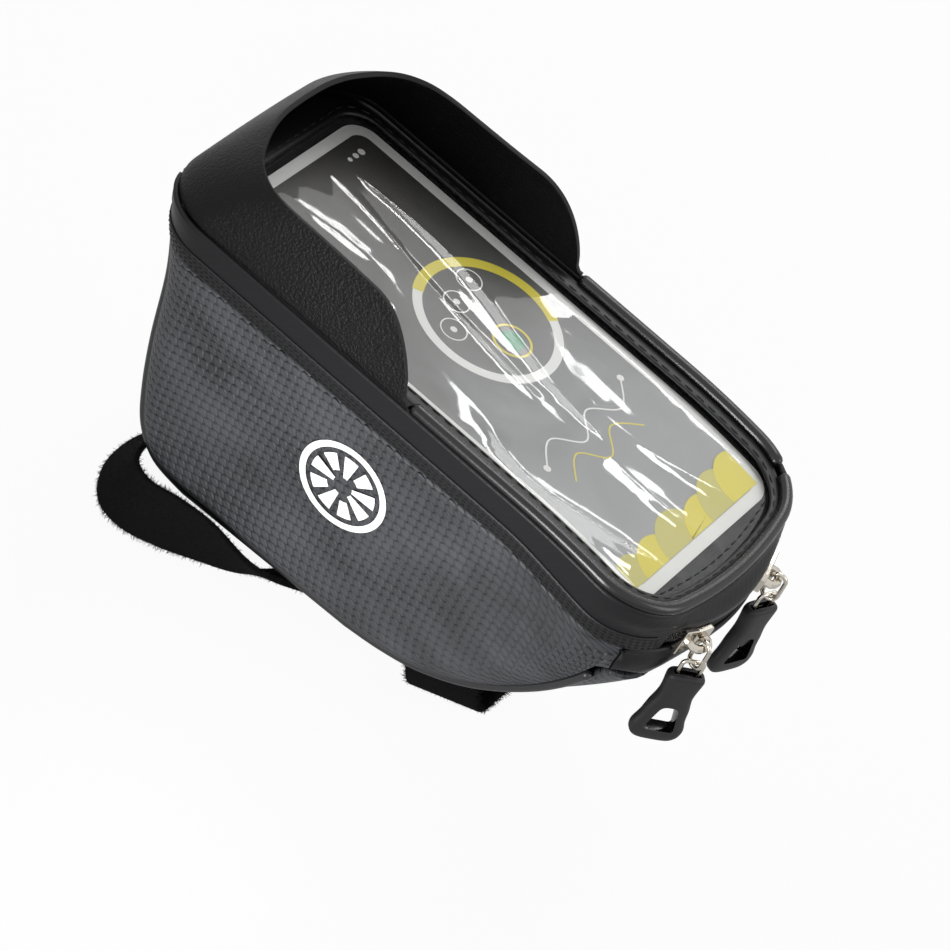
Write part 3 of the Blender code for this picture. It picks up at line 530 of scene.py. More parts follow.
def thickened(made: Piece, thickness: float) -> None:
    """Give a surface a thickness inward and smooth shading."""
    solid = made.modifiers.new("Thickness", "SOLIDIFY")
    solid.thickness, solid.offset = thickness, -1
    made.data.shade_smooth()


def crisp_edges(work: bmesh.types.BMesh) -> None:
    """Keep the open edges of a surface sharp."""
    for edge in work.edges:
        edge.smooth = not edge.is_boundary


def new_piece(name: str, mesh: Mesh, look: Look, body: str,
              replaced: Sequence[str] = ()) -> Piece:
    """Put a mesh in the scene as a piece that rides on a body.

    Args:
        name: the piece's name.
        mesh: its mesh, placed in the model's frame.
        look: its finish, used only when the mesh has no materials of its own.
        body: the body it rides on.
        replaced: nodes that it stands for.

    Returns:
        The object.
    """
    made = linked(name, mesh)
    if not mesh.materials:
        mesh.materials.append(material(look))
    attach(made, body)
    if replaced:
        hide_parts(*replaced)
    LOG.info("%s rides on %s, %d faces", name, body, len(mesh.polygons))
    return made


def sheet(name: str, rows: Rows, look: Look, thickness: float, closed: bool = False,
          flip: bool = False, replaced: Sequence[str] = (), crisp: bool = False,
          filled: bool = False) -> Piece:
    """A thick sheet through rows of points, with its outer face where the points are.

    Args:
        name: the piece's name.
        rows: points of the outer face.
        look: its finish.
        thickness: inward from the outer face.
        closed: joins each row's end to its start.
        flip: turns the outer face over.
        replaced: nodes that it stands for.
        crisp: keeps its cut edges sharp.
        filled: closes the last row of a closed sheet to its middle.

    Returns:
        The piece.
    """
    work = bmesh.new()
    layer = work.loops.layers.uv.new("cloth")
    uv = cloth_uv(rows)
    lines = [[work.verts.new(point) for point in row] for row in rows]
    count = len(lines[0])
    if filled:
        middle = work.verts.new(sum(rows[-1], Vector()) / count)
        for start, end in zip(lines[-1], lines[-1][1:] + lines[-1][:1]):
            work.faces.new((end, start, middle) if flip else (start, end, middle))
    for level, (upper, lower) in enumerate(zip(lines, lines[1:])):
        for i in range(count if closed else count - 1):
            j = (i + 1) % count
            corners = [(upper[i], uv[level][i]), (upper[j], uv[level][j]),
                       (lower[j], uv[level + 1][j]), (lower[i], uv[level + 1][i])]
            if flip:
                corners.reverse()
            face = work.faces.new([corner[0] for corner in corners])
            for loop, corner in zip(face.loops, corners):
                loop[layer].uv = corner[1]
    if crisp:
        crisp_edges(work)
    made = new_piece(name, settled(name, work), look, "bag", replaced)
    thickened(made, thickness)
    return made


def tube(name: str, points: Sequence[Vector], radius: float, look: Look, replaced: str,
         body: str = "bag", closed: bool = False, sides: int = 16) -> Piece:
    """A round tube along points, as a mesh with rounded ends.

    Args:
        name: the piece's name.
        points: its middle line.
        radius: its radius.
        look: its finish.
        replaced: the node that it stands for.
        body: the body it rides on.
        closed: joins its ends.
        sides: faces round it.

    Returns:
        The piece.
    """
    work = bmesh.new()
    rings = []
    count = len(points)
    normal = Vector((0.0, 0.0, 1.0))
    for i, point in enumerate(points):
        before = points[i - 1] if i or closed else point
        after = points[(i + 1) % count] if i < count - 1 or closed else point
        tangent = (after - before).normalized()
        if abs(tangent.dot(normal)) > 0.95:
            normal = Vector((tangent.y, tangent.z, tangent.x))
        normal = (normal - tangent * normal.dot(tangent)).normalized()
        side = tangent.cross(normal)
        ends = [(0.0, 1.0)]
        if not closed and i == 0:
            ends = [(-0.75, 0.5), (-0.45, 0.83), (0.0, 1.0)]
        elif not closed and i == count - 1:
            ends = [(0.0, 1.0), (0.45, 0.83), (0.75, 0.5)]
        for push, shrink in ends:
            ring = []
            for k in range(sides):
                angle = 2 * math.pi * k / sides
                spoke = normal * math.cos(angle) + side * math.sin(angle)
                ring.append(work.verts.new(
                    point + tangent * (push * radius) + spoke * (radius * shrink)))
            rings.append(ring)
    ring_faces(work, rings, closed)
    if not closed:
        work.faces.new(rings[0][::-1])
        work.faces.new(rings[-1])
    bmesh.ops.recalc_face_normals(work, faces=work.faces)
    mesh = settled(name, work)
    mesh.shade_smooth()
    return new_piece(name, mesh, look, body, [replaced])


def evaluated(made: Piece) -> Mesh:
    """A plain mesh of an object as its modifiers leave it."""
    bpy.context.view_layer.update()
    graph = bpy.context.evaluated_depsgraph_get()
    return bpy.data.meshes.new_from_object(made.evaluated_get(graph))


# Things that repeat, made by Geometry Nodes

def group(name: str, inputs: dict[str, str]) -> tuple[Tree, Node]:
    """A Geometry Nodes tree from geometry to geometry, with further inputs by name and kind."""
    tree = bpy.data.node_groups.new(name + "_nodes", "GeometryNodeTree")
    kinds = {"Geometry": "Geometry", **inputs}
    for title, kind in kinds.items():
        tree.interface.new_socket(title, in_out="INPUT", socket_type="NodeSocket" + kind)
    tree.interface.new_socket("Geometry", in_out="OUTPUT", socket_type="NodeSocketGeometry")
    return tree, add(tree, "NodeGroupInput")


def grown(name: str, mesh: Mesh, tree: Tree,
          values: dict[str, Any], look: Look, body: str) -> Piece:
    """Run a tree on a mesh and keep what it makes as a plain piece.

    Args:
        name: the piece's name.
        mesh: what the tree works on.
        tree: the tree.
        values: its inputs by name.
        look: the piece's finish.
        body: the body it rides on.

    Returns:
        The piece.
    """
    holder = linked(name + "_holder", mesh)
    modifier = holder.modifiers.new("Nodes", "NODES")
    modifier.node_group = tree
    for item in tree.interface.items_tree:
        if item.name in values:
            modifier[item.identifier] = values[item.name]
    made = evaluated(holder)
    made.name = name
    bpy.data.objects.remove(holder)
    return new_piece(name, made, look, body)


@dataclass
class Repeats:
    """One shape set many times along paths: stitches and coil teeth."""

    name: str
    look: Look
    spacing: float
    size: tuple[float, float, float]

    def tree(self) -> Tree:
        """Tree that sets a capsule along each curve at a named spacing, turned along it."""
        tree, given = group(self.name, {"Spacing": "Float", "Size": "Vector"})
        curve = add(tree, "GeometryNodeMeshToCurve", None, {"Mesh": given.outputs["Geometry"]})
        points = add(tree, "GeometryNodeCurveToPoints", {"mode": "LENGTH"},
                     {"Curve": curve, "Length": given.outputs["Spacing"]})
        ball = add(tree, "GeometryNodeMeshIcoSphere", None, {"Radius": 0.5, "Subdivisions": 2})
        instances = add(tree, "GeometryNodeInstanceOnPoints", None,
                        {"Points": points, "Instance": ball, "Rotation": points.outputs["Rotation"],
                         "Scale": given.outputs["Size"]})
        real = add(tree, "GeometryNodeRealizeInstances", None, {"Geometry": instances})
        smooth = add(tree, "GeometryNodeSetShadeSmooth", None, {"Geometry": real})
        dressed = add(tree, "GeometryNodeSetMaterial", None,
                      {"Geometry": smooth, "Material": material(self.look)})
        add(tree, "NodeGroupOutput", None, {0: dressed})
        return tree

    def build(self, paths: Sequence[Sequence[Vector]], body: str = "bag") -> Piece:
        """Set the shape along paths and keep the result as a plain mesh.

        Args:
            paths: lines of points.
            body: the body the piece rides on.

        Returns:
            The piece.
        """
        work = bmesh.new()
        for path in paths:
            verts = [work.verts.new(point) for point in path]
            for a, b in zip(verts, verts[1:]):
                work.edges.new((a, b))
        return grown(self.name, settled(self.name + "_paths", work), self.tree(),
                     {"Spacing": self.spacing, "Size": self.size}, self.look, body)


@dataclass
class Pile:
    """Short fibres that stand on a tape, thicker along its edges."""

    name: str
    look: Look
    density: float                 # fibres in a square metre
    length: float
    seed: int

    def tree(self) -> Tree:
        """Tree that scatters thin bent fibres over a mesh."""
        tree, given = group(self.name, {"Density": "Float", "Length": "Float"})
        points = add(tree, "GeometryNodeDistributePointsOnFaces", None,
                     {"Mesh": given.outputs["Geometry"], "Density": given.outputs["Density"],
                      "Seed": self.seed})
        fibre = add(tree, "GeometryNodeMeshCone", {"fill_type": "NONE"},
                    {"Vertices": 3, "Side Segments": 1, "Radius Top": 0.02,
                     "Radius Bottom": 0.07, "Depth": 1.0})
        lean = add(tree, "FunctionNodeRandomValue", {"data_type": "FLOAT_VECTOR"},
                   {"Min": (-0.9, -0.9, -3.1), "Max": (0.9, 0.9, 3.1), "Seed": self.seed + 1})
        turned = add(tree, "FunctionNodeRotateRotation", {"rotation_space": "LOCAL"},
                     {0: points.outputs["Rotation"], 1: lean.outputs[0]})
        scale = add(tree, "FunctionNodeRandomValue", {"data_type": "FLOAT"},
                    {2: 0.35, 3: 1.0, "Seed": self.seed + 2})
        sized = add(tree, "ShaderNodeMath", {"operation": "MULTIPLY"},
                    {0: scale.outputs[1], 1: given.outputs["Length"]})
        instances = add(tree, "GeometryNodeInstanceOnPoints", None,
                        {"Points": points, "Instance": fibre.outputs["Mesh"],
                         "Rotation": turned, "Scale": sized})
        real = add(tree, "GeometryNodeRealizeInstances", None, {"Geometry": instances})
        dressed = add(tree, "GeometryNodeSetMaterial", None,
                      {"Geometry": real, "Material": material(self.look)})
        add(tree, "NodeGroupOutput", None, {0: dressed})
        return tree

    def build(self, carrier: Mesh, body: str = "bag") -> Piece:
        """Scatter the fibres over a copy of the tape's mesh and keep them as a plain mesh.

        Args:
            carrier: the tape's mesh.
            body: the body the piece rides on.

        Returns:
            The piece.
        """
        return grown(self.name, carrier, self.tree(),
                     {"Density": self.density, "Length": self.length}, self.look, body)


# The bag's shape

@dataclass(frozen=True)
class BagShape:
    """Curves of the sewn shell, measured from the lid."""

    lid_length: float = 190 * MM
    lid_half_width: float = 47.5 * MM
    lid_rise: float = math.radians(3.5)
    lid_height: float = 90.7 * MM
    front_radius: float = 20 * MM
    rear_radius: float = 23 * MM
    rear_bow: float = 150 * MM
    droop_start: float = 135 * MM
    droop_depth: float = 5.8 * MM
    side_half: float = 48.2 * MM
    side_lean: float = 0.145
    seat_front: float = 48 * MM
    seat_rear: float = 110 * MM
    seat_rounding: float = 5.8
    seat_seam: float = 25.0
    seam_radius: float = 1.7 * MM
    seam_reach: float = 2.0 * MM
    band_depth: float = 15 * MM
    band_depth_rear: float = 20.5 * MM
    band_drop: tuple[float, float] = (135 * MM, 178 * MM)    # where the strip sinks to the rear
    notch_back: float = 180.5 * MM
    side_hem: float = 30 * MM
    rear_hem: float = 35.5 * MM
    zip_depth: float = 17.5 * MM
    zip_back: float = 194.4 * MM
    zip_radius: float = 70 * MM
    zip_flat: float = 4.5 * MM         # the wall stands straight this far from the zip
    zip_slot: float = 3.7 * MM
    slot_angle: float = math.radians(24.6)
    slot_end: float = math.radians(2.2)
    hem_back: float = 188.6 * MM
    hem_radius: float = 260 * MM
    draw_back: tuple[float, float] = (160 * MM, 186 * MM)    # where the wall draws in to the lid
    draw_depth: float = 12.5 * MM
    visor_back: float = 95 * MM
    piping_radius: float = 2 * MM
    # Middle line of the front wall and the rear underside: back, depth, rounding, seam angle
    front_wall: tuple[tuple[float, ...], ...] = (
        (0.4, 1.2, 17, 9), (2.8, 10, 17, 9), (6.6, 19, 16.5, 9), (11.8, 34, 15, 10),
        (16.8, 56, 12, 12), (22, 73, 9.5, 16), (27.5, 84.5, 7.5, 20), (36, 91.4, 6, 25))
    rear_underside: tuple[tuple[float, ...], ...] = (
        (122, 88.2, 6.5, 26), (134, 85.2, 8, 28), (147, 79.4, 11, 31), (158, 71.6, 14, 36),
        (168, 62.4, 17, 42), (176, 53.6, 19.5, 48), (183, 44.8, 21.5, 54), (188, 37.4, 22, 59))

    def frame(self) -> Matrix:
        """Matrix from the lid's coordinates (across, forward of its middle, up) to the model's."""
        turned = Matrix.Rotation(self.lid_rise, 4, "X")
        raised = Matrix.Translation((0, 0, self.lid_height)) @ turned
        middle = 0.5 * (self.seat_front + self.seat_rear)
        seat = raised @ Vector((0, self.lid_length / 2 - middle, -self.seat_depth(middle)))
        return Matrix.Translation((0, -seat.y, -seat.z)) @ raised

    def seat_depth(self, back: float) -> float:
        """Depth of the level seat below the lid's plane."""
        forward = self.lid_length / 2 - back
        return (self.lid_height + forward * math.sin(self.lid_rise)) / math.cos(self.lid_rise)

    def place(self, x: float, back: float, down: float) -> Vector:
        """Point of the model at a place measured from the lid."""
        return FRAME @ Vector((x, self.lid_length / 2 - back, -down))

    def droop(self, back: float) -> float:
        """How far the lid has bent down at this distance back."""
        past = max(0.0, back - self.droop_start) / (self.lid_length - self.droop_start)
        return self.droop_depth * past ** 2

    def width(self, down: float) -> float:
        """Half the bag's width at a depth."""
        return self.side_half - self.side_lean * down

    def belly(self, steps: int) -> list[tuple[float, float, float, float]]:
        """The belly's middle line from the lid's front round the base to the rear.

        Args:
            steps: stretches between two of its given points.

        Returns:
            Back, depth, rounding and seam angle of each point.
        """
        ends = [(s / MM, self.seat_depth(s) / MM, self.seat_rounding, self.seat_seam)
                for s in (self.seat_front, self.seat_rear)]
        front = spline([*self.front_wall, ends[0]], steps)
        rear = spline([ends[1], *self.rear_underside], steps)
        count = 4 * steps // 3
        seat = [tuple(mix(a, b, t / count) for a, b in zip(*ends)) for t in range(1, count)]
        return [(back * MM, down * MM, radius * MM, math.radians(seam))
                for back, down, radius, seam in front + seat + rear]

    def skin(self, line: Line, index: int, angle: float) -> Place:
        """A point of the rounding beside the belly's line, from 0 on the flat to a right angle."""
        back, down, radius, _ = line[index]
        inner_back, inner_down = square_to(line, index)
        depth = radius * (1 - math.cos(angle))
        x = self.width(down) - radius + radius * math.sin(angle)
        return x, back + inner_back * depth, down + inner_down * depth

    def rear_shape(self, down: float) -> tuple[float, float, float]:
        """Back, middle radius and corner radius of the rear end at a depth."""
        lid, middle = (self.lid_length, self.rear_bow), (self.zip_back, self.zip_radius)
        if down < self.zip_depth - self.zip_flat:
            t = ease(down, 0, self.zip_depth - self.zip_flat)
            back, bow = (mix(a, b, t) for a, b in zip(lid, middle))
        else:
            t = ease(down, self.zip_depth + self.zip_flat, self.rear_hem + 3 * MM)
            back, bow = (mix(a, b, t) for a, b in zip(middle, (self.hem_back, self.hem_radius)))
        return back, bow, self.rear_radius

    def rear_join(self, width: float, down: float) -> tuple[float, float, float, float, float]:
        """The rear end's back, radii, the angle where they meet and the corner's centre."""
        back, bow, radius = self.rear_shape(down)
        join = math.asin((width - radius) / (bow - radius))
        return back, bow, radius, join, back - bow + (bow - radius) * math.cos(join)

    def side_x(self, back: float, down: float, line: Line) -> float:
        """Distance of the side from the middle plane."""
        width = self.width(down)
        best, radius = 1.0, self.seat_rounding * MM
        for (b0, d0, r0, _), (b1, d1, r1, _) in zip(line, line[1:]):
            run_b, run_d = b1 - b0, d1 - d0
            t = ((back - b0) * run_b + (down - d0) * run_d) / (run_b ** 2 + run_d ** 2)
            t = min(1.0, max(0.0, t))
            distance = math.hypot(back - b0 - t * run_b, down - d0 - t * run_d)
            if distance < best:
                best, radius = distance, mix(r0, r1, t)
        inset = 0.0
        if best < radius:
            inset = radius - math.sqrt(max(0.0, radius ** 2 - (radius - best) ** 2))
        _, _, corner, _, centre = self.rear_join(width, down)
        if back > centre:
            past = min(back - centre, corner)
            inset = max(inset, corner - math.sqrt(corner ** 2 - past ** 2))
        return width - inset

    def band_lower(self, back: float) -> float:
        """Depth of the stitched strip's lower edge."""
        return mix(self.band_depth, self.band_depth_rear, ease(back, *self.band_drop))

    def in_slot(self, angle: float | None) -> float:
        """1 where the zip's slot is open, 0 past its ends."""
        if angle is None:
            return 0.0
        return 1.0 - ease(angle, self.slot_angle, self.slot_angle + self.slot_end)

    def plan(self, down: float,
             line: Line) -> list[tuple[float, float, float | None]]:
        """Half of the outline at a depth, from the front corner to the rear's middle.

        Args:
            down: the depth.
            line: the belly's line.

        Returns:
            Across, back and the angle on the zip's arc, or None off the arc.
        """
        width = self.width(down)
        index = next(i for i, point in enumerate(line) if point[1] >= min(down, 20 * MM))
        front, _, radius, seam = line[index]
        back, bow, corner, join, centre = self.rear_join(width, down)
        points: list[tuple[float, float, float | None]] = []
        for i in range(13):
            angle = mix(seam + GAP / radius, math.pi / 2, i / 12)
            points.append((width - radius + radius * math.sin(angle),
                           front + radius * (1 - math.cos(angle)), None))
        for i in range(1, 44):
            points.append((width, mix(front + radius, centre, i / 44), None))
        for i in range(13):
            angle = mix(math.pi / 2, join, i / 12)
            points.append((width - corner + corner * math.sin(angle),
                           centre + corner * math.cos(angle), None))
        for i in range(1, 37):
            angle = join * (1 - i / 36)
            points.append((bow * math.sin(angle), back - bow * (1 - math.cos(angle)), angle))
        return points

    def wrap(self, half: Sequence[Place]) -> list[Place]:
        """Mirror half a row, given from a front corner to the rear's middle, to a whole one."""
        return [(-x, back, down) for x, back, down in half] + list(half[-2::-1])

    def band(self, line: Line, top: Callable[[float, float | None], float],
             bottom: Callable[[float, float | None], float], levels: int, proud: float = 0.0,
             tuck: bool = False) -> Rows:
        """Rows of the side and rear wall between two depths.

        Args:
            line: the belly's line.
            top: depth of the upper edge from (back, zip angle).
            bottom: depth of the lower edge.
            levels: stretches from top to bottom.
            proud: how far the rows stand out of the wall.
            tuck: draws the upper edge in to the lid's outline at the rear.

        Returns:
            The rows, from the left front corner round the rear to the right one.
        """
        rows = []
        sample = self.plan(self.zip_depth, line)
        for level in range(levels + 1):
            half = []
            for i, (_, back, angle) in enumerate(sample):
                upper = top(back, angle)
                down = mix(upper, bottom(back, angle), level / levels)
                drawn = 0.0
                if tuck:
                    drawn = ease(back, *self.draw_back) * (1 - ease(down, upper, self.draw_depth))
                plan = self.plan(down * (1 - drawn), line)
                x, at, _ = plan[i]
                if proud:
                    nx, nb = square_to(plan, i)
                    x, at = x + nx * proud, at + nb * proud
                half.append((x, at, down))
            rows.append([self.place(*point) for point in self.wrap(half)])
        return rows

    def zip_point(self, angle: float, inset: float, down: float) -> Vector:
        """Point on the zip's arc, inset from the wall's outer face."""
        radius = self.zip_radius - inset
        back = self.zip_back - self.zip_radius + radius * math.cos(angle)
        return self.place(radius * math.sin(angle), back, down)

    def zip_rows(self, reach: float, count: int, inset: float, depths: Sequence[float]) -> Rows:
        """Rows of points along the zip's arc, reach to each side, at some depths."""
        return [[self.zip_point(mix(-reach, reach, i / count), inset, down)
                 for i in range(count + 1)] for down in depths]

    def lid_loop(self, half_width: float, front: float, rear: float, front_radius: float,
                 rear_radius: float, bow: float) -> list[tuple[float, float]]:
        """Closed outline of the lid or something inside it, as across and back."""
        join = math.asin((half_width - rear_radius) / (bow - rear_radius))
        centre = rear - bow + (bow - rear_radius) * math.cos(join)
        half = [(half_width, mix(front + front_radius, centre, 1 - i / 60)) for i in range(61)]
        half += [(half_width - front_radius + front_radius * math.cos(a),
                  front + front_radius - front_radius * math.sin(a))
                 for a in (0.5 * math.pi * i / 12 for i in range(1, 13))]
        half += [((half_width - front_radius) * (1 - i / 12), front) for i in range(1, 12)]
        rear_half = [(half_width - rear_radius + rear_radius * math.sin(a),
                      centre + rear_radius * math.cos(a))
                     for a in (mix(math.pi / 2, join, i / 14) for i in range(1, 15))]
        rear_half += [(bow * math.sin(a), rear - bow * (1 - math.cos(a)))
                      for a in (join * (1 - i / 12) for i in range(1, 12))]
        right = rear_half[::-1] + half
        return [(0.0, rear)] + right + [(0.0, front)] + [(-x, back) for x, back in right[::-1]]

    def inset_loop(self, inset: float) -> list[tuple[float, float]]:
        """The lid's outline moved inward."""
        return self.lid_loop(self.lid_half_width - inset, inset, self.lid_length - inset,
                             self.front_radius - inset, self.rear_radius - inset,
                             self.rear_bow - inset)

    def on_lid(self, loop: Outline, down: float) -> list[Vector]:
        """Points of an outline on the lid at a depth."""
        return [self.place(x, back, down + self.droop(back)) for x, back in loop]


SHAPE = BagShape()
FRAME = SHAPE.frame()


# Sub-assemblies

@dataclass
class Shell:
    """The sewn body: embossed sides and gusset, coated bands, piping and the stitched strip."""

    fabric: float = 2.0 * MM
    band_thickness: float = 1.5 * MM
    band_top: float = 0.9 * MM
    strip_height: float = 5.6 * MM
    strip_proud: float = 0.3 * MM
    strip_stitch_rows: int = 4
    sag: float = 0.9 * MM              # of the gusset between its seams
    piping_end: float = 176.6 * MM
    folds: tuple[float, float, float] = (1.2 * MM, 1.3 * MM, 0.9 * MM)
    print_back: float = 90 * MM
    print_down: float = 42 * MM
    print_radius: float = 15 * MM
    print_bars: int = 9
    ink: float = 0.12 * MM
    line: list[tuple[float, float, float, float]] = field(default_factory=lambda: SHAPE.belly(9))

    def build(self) -> None:
        """Make every piece of the body."""
        self.gusset()
        for side, name in ((-1, "left"), (1, "right")):
            self.side_panel(name, side)
            self.seam_piping(name, side)
        self.upper_band()
        self.lower_band()

    def gusset(self) -> None:
        """Front wall, base and rear underside in one strip of embossed cloth."""
        rows = []
        for index, (back, down, radius, seam) in enumerate(self.line):
            edge = seam - SHAPE.seam_reach / radius
            flat = SHAPE.width(down) - radius
            half = [SHAPE.skin(self.line, index, edge * (1 - i / 6)) for i in range(6)]
            half += [(flat * (1 - i / 8), back, down) for i in range(8)]
            row = [(-x, b, d) for x, b, d in half] + [(0.0, back, down)] + half[::-1]
            hold = ease(down, 12 * MM, 30 * MM) * (1 - ease(down, 72 * MM, 84 * MM))
            inner = Vector(square_to(self.line, index))
            placed = []
            for x, b, d in row:
                middle = 1 - (x / SHAPE.width(down)) ** 2
                uneven = noise.noise(Vector((x * 22, index * 0.045, 3.3)))
                sunk = hold * middle * self.sag * (0.5 + uneven)
                placed.append(SHAPE.place(x, b + inner.x * sunk, d + inner.y * sunk))
            rows.append(placed)
        made = sheet("body_gusset", rows, Look.SCALES, self.fabric, replaced=["gusset_panel"])

    def side_edge(self, index: int) -> tuple[float, float]:
        """Back and depth of a side panel's edge at the seam."""
        _, _, radius, seam = self.line[index]
        return SHAPE.skin(self.line, index, seam + SHAPE.seam_reach / radius)[1:]

    def creases(self, s: float, t: float) -> float:
        """How far the side cloth has sunk at a place on it, both from 0 to 1."""
        hold = ease(min(s, 1 - s), 0.0, 0.12) * ease(min(t, 1 - t), 0.0, 0.16)
        broad = noise.noise(Vector((2.3 * s, 1.6 * t, 4.2)))
        upper = math.exp(-((t - 0.26 - 0.10 * s) / 0.05) ** 2)
        upper *= ease(s, 0.02, 0.12) * (1 - ease(s, 0.3, 0.62))
        lower = math.exp(-((t - 0.72 + 0.22 * s) / 0.09) ** 2)
        lower *= ease(s, 0.08, 0.3) * (1 - ease(s, 0.5, 0.85))
        return hold * sum(size * fold for size, fold in zip(self.folds, (broad, upper, lower)))

    def side_panel(self, name: str, side: int) -> None:
        """One embossed side with the soft hollows that sewn cloth takes.

        Args:
            name: left or right.
            side: -1 for the left, 1 for the right.
        """
        first = first_where(self.line, 1, SHAPE.band_depth + 3 * MM)
        corner = first_where(self.line, 0, 34 * MM)
        front = [self.side_edge(i) for i in range(first, corner + 1)]
        under = [self.side_edge(i) for i in range(corner, len(self.line))]
        top_front = (front[0][0], SHAPE.band_depth + GAP)
        front[0] = top_front
        rear_top = (SHAPE.notch_back, SHAPE.band_depth_rear + GAP)
        under[-1] = (SHAPE.notch_back, SHAPE.side_hem)
        columns, levels = 96, 44
        rows = []
        for i in range(levels + 1):
            t = math.sin(0.5 * math.pi * i / levels)
            left, right = along(front, t), tuple(mix(a, b, t) for a, b in zip(rear_top, under[-1]))
            row = []
            for j in range(columns + 1):
                s = mix(j / columns, 0.5 * (1 - math.cos(math.pi * j / columns)), 0.7)
                back = mix(top_front[0], rear_top[0], s)
                upper, lower = (back, SHAPE.band_lower(back) + GAP), along(under, s)
                at, down = (
                    (1 - t) * upper[k] + t * lower[k] + (1 - s) * left[k] + s * right[k]
                    - (1 - s) * (1 - t) * top_front[k] - s * (1 - t) * rear_top[k]
                    - (1 - s) * t * under[0][k] - s * t * under[-1][k]
                    for k in (0, 1))
                x = SHAPE.side_x(at, down, self.line) - self.creases(s, t)
                row.append(SHAPE.place(side * x, at, down))
            rows.append(row)
        made = sheet(f"body_side_{name}", rows, Look.SCALES, self.fabric, flip=side < 0,
                     replaced=[f"side_panel_{name}"])
        self.print_disc(name, side)

    def seam_piping(self, name: str, side: int) -> None:
        """Thin piping in a side's seam."""
        points = []
        for index, (_, _, _, seam) in enumerate(self.line):
            x, back, depth = SHAPE.skin(self.line, index, seam)
            if self.line[index][1] > SHAPE.band_depth + 1 * MM and back < self.piping_end:
                points.append(SHAPE.place(side * x, back, depth))
        tube(f"seam_piping_{name}", points, SHAPE.seam_radius, Look.SEAM, f"lower_piping_{name}",
             sides=12)

    def upper_band(self) -> None:
        """Smooth coated band below the lid's edge."""
        def top(back: float, _: float | None) -> float:
            """The band starts at the lid's plane, and lower where the cord lies on it."""
            rear = SHAPE.droop(min(back, SHAPE.lid_length)) + 0.4 * SHAPE.piping_radius
            past = ease(back, SHAPE.visor_back - 9 * MM, SHAPE.visor_back - 1 * MM)
            return mix(self.band_top, rear, past)

        def bottom(back: float, angle: float | None) -> float:
            """It ends at the strip's edge, and at the slot along the zip."""
            slot = SHAPE.zip_depth - SHAPE.zip_slot
            return mix(SHAPE.band_lower(back), slot, SHAPE.in_slot(angle))

        rows = SHAPE.band(self.line, top, bottom, 12, tuck=True)
        made = sheet("upper_band", rows, Look.TWILL, self.band_thickness, flip=True,
                     replaced=["lid_side_band"])
        self.stitched_strip()

    def lower_band(self) -> None:
        """Smooth coated band below the zip."""
        top_depth = SHAPE.zip_depth + SHAPE.zip_slot
        upper = SHAPE.plan(top_depth, self.line)
        first = first_where(upper, 1, SHAPE.notch_back)
        rows = []
        for level in range(13):
            half = []
            for i, (_, back, _) in enumerate(upper[first - 1:]):
                low = mix(SHAPE.side_hem, SHAPE.rear_hem, ease(back, SHAPE.notch_back, 188 * MM))
                down = mix(top_depth, low, level / 12)
                x, at, _ = SHAPE.plan(down, self.line)[first - 1 + i]
                if i == 0:
                    at = SHAPE.notch_back + 0.6 * MM
                    x = SHAPE.side_x(at, down, self.line)
                half.append((x, at, down))
            rows.append([SHAPE.place(*point) for point in SHAPE.wrap(half)])
        made = sheet("lower_band", rows, Look.TWILL, self.band_thickness, flip=True,
                     replaced=["lower_zip_band"])

    def stitched_strip(self) -> list[Piece]:
        """Binding strip along the band's lower edge, sewn down with rows of small stitches."""
        def top(back: float, _: float | None) -> float:
            """The strip has one height all along."""
            return SHAPE.band_lower(back) - self.strip_height

        def bottom(back: float, _: float | None) -> float:
            """It ends just above the band's edge."""
            return SHAPE.band_lower(back) - 0.1 * MM

        rows = SHAPE.band(self.line, top, bottom, 4, self.strip_proud)
        keep = next(i for i, point in enumerate(SHAPE.plan(SHAPE.zip_depth, self.line))
                    if point[2] is not None and point[2] < SHAPE.slot_angle + math.radians(3))
        made = [sheet(f"binding_strip_{name}", [row[part] for row in rows], Look.STRIP,
                      self.strip_proud - 0.02 * MM, flip=True)
                for name, part in (("left", slice(0, keep)), ("right", slice(-keep, None)))]
        paths = []
        for k in range(self.strip_stitch_rows):
            depth = 0.9 * MM + k * 1.25 * MM
            row = SHAPE.band(self.line, lambda b, a, d=depth: top(b, a) + d,
                             lambda b, a, d=depth: top(b, a) + d + 0.1 * MM, 1,
                             self.strip_proud + 0.05 * MM)[0]
            paths += [row[:keep], row[-keep:]]
        stitches = Repeats("strip_stitches", Look.STRIP_THREAD, 2.1 * MM,
                           (0.34 * MM, 0.34 * MM, 1.3 * MM))
        return [*made, stitches.build(paths)]

    def print_disc(self, name: str, side: int) -> Piece:
        """Round print on a side: a white ring round fanned bars, lying on the cloth.

        Args:
            name: left or right.
            side: -1 for the left, 1 for the right.

        Returns:
            The piece.
        """
        radius = self.print_radius

        def on_side(u: float, v: float) -> Vector:
            """Point on the cloth at a place measured from the print's middle."""
            back, down = self.print_back + u, self.print_down + v
            x = SHAPE.side_x(back, down, self.line) + 0.25 * MM
            return SHAPE.place(side * x, back, down)

        work = bmesh.new()

        def patch(inner: float, outer: float, start: float, end: float) -> None:
            """Part of a ring between two radii and two angles."""
            turns, steps = max(3, int((end - start) * 24)), 4
            grid = []
            for i in range(turns + 1):
                angle = mix(start, end, i / turns)
                reaches = [mix(inner, outer, k / steps) for k in range(steps + 1)]
                grid.append([work.verts.new(on_side(math.cos(angle) * r, math.sin(angle) * r))
                             for r in reaches])
            for a, b in zip(grid, grid[1:]):
                for k in range(steps):
                    work.faces.new((a[k], a[k + 1], b[k + 1], b[k]))

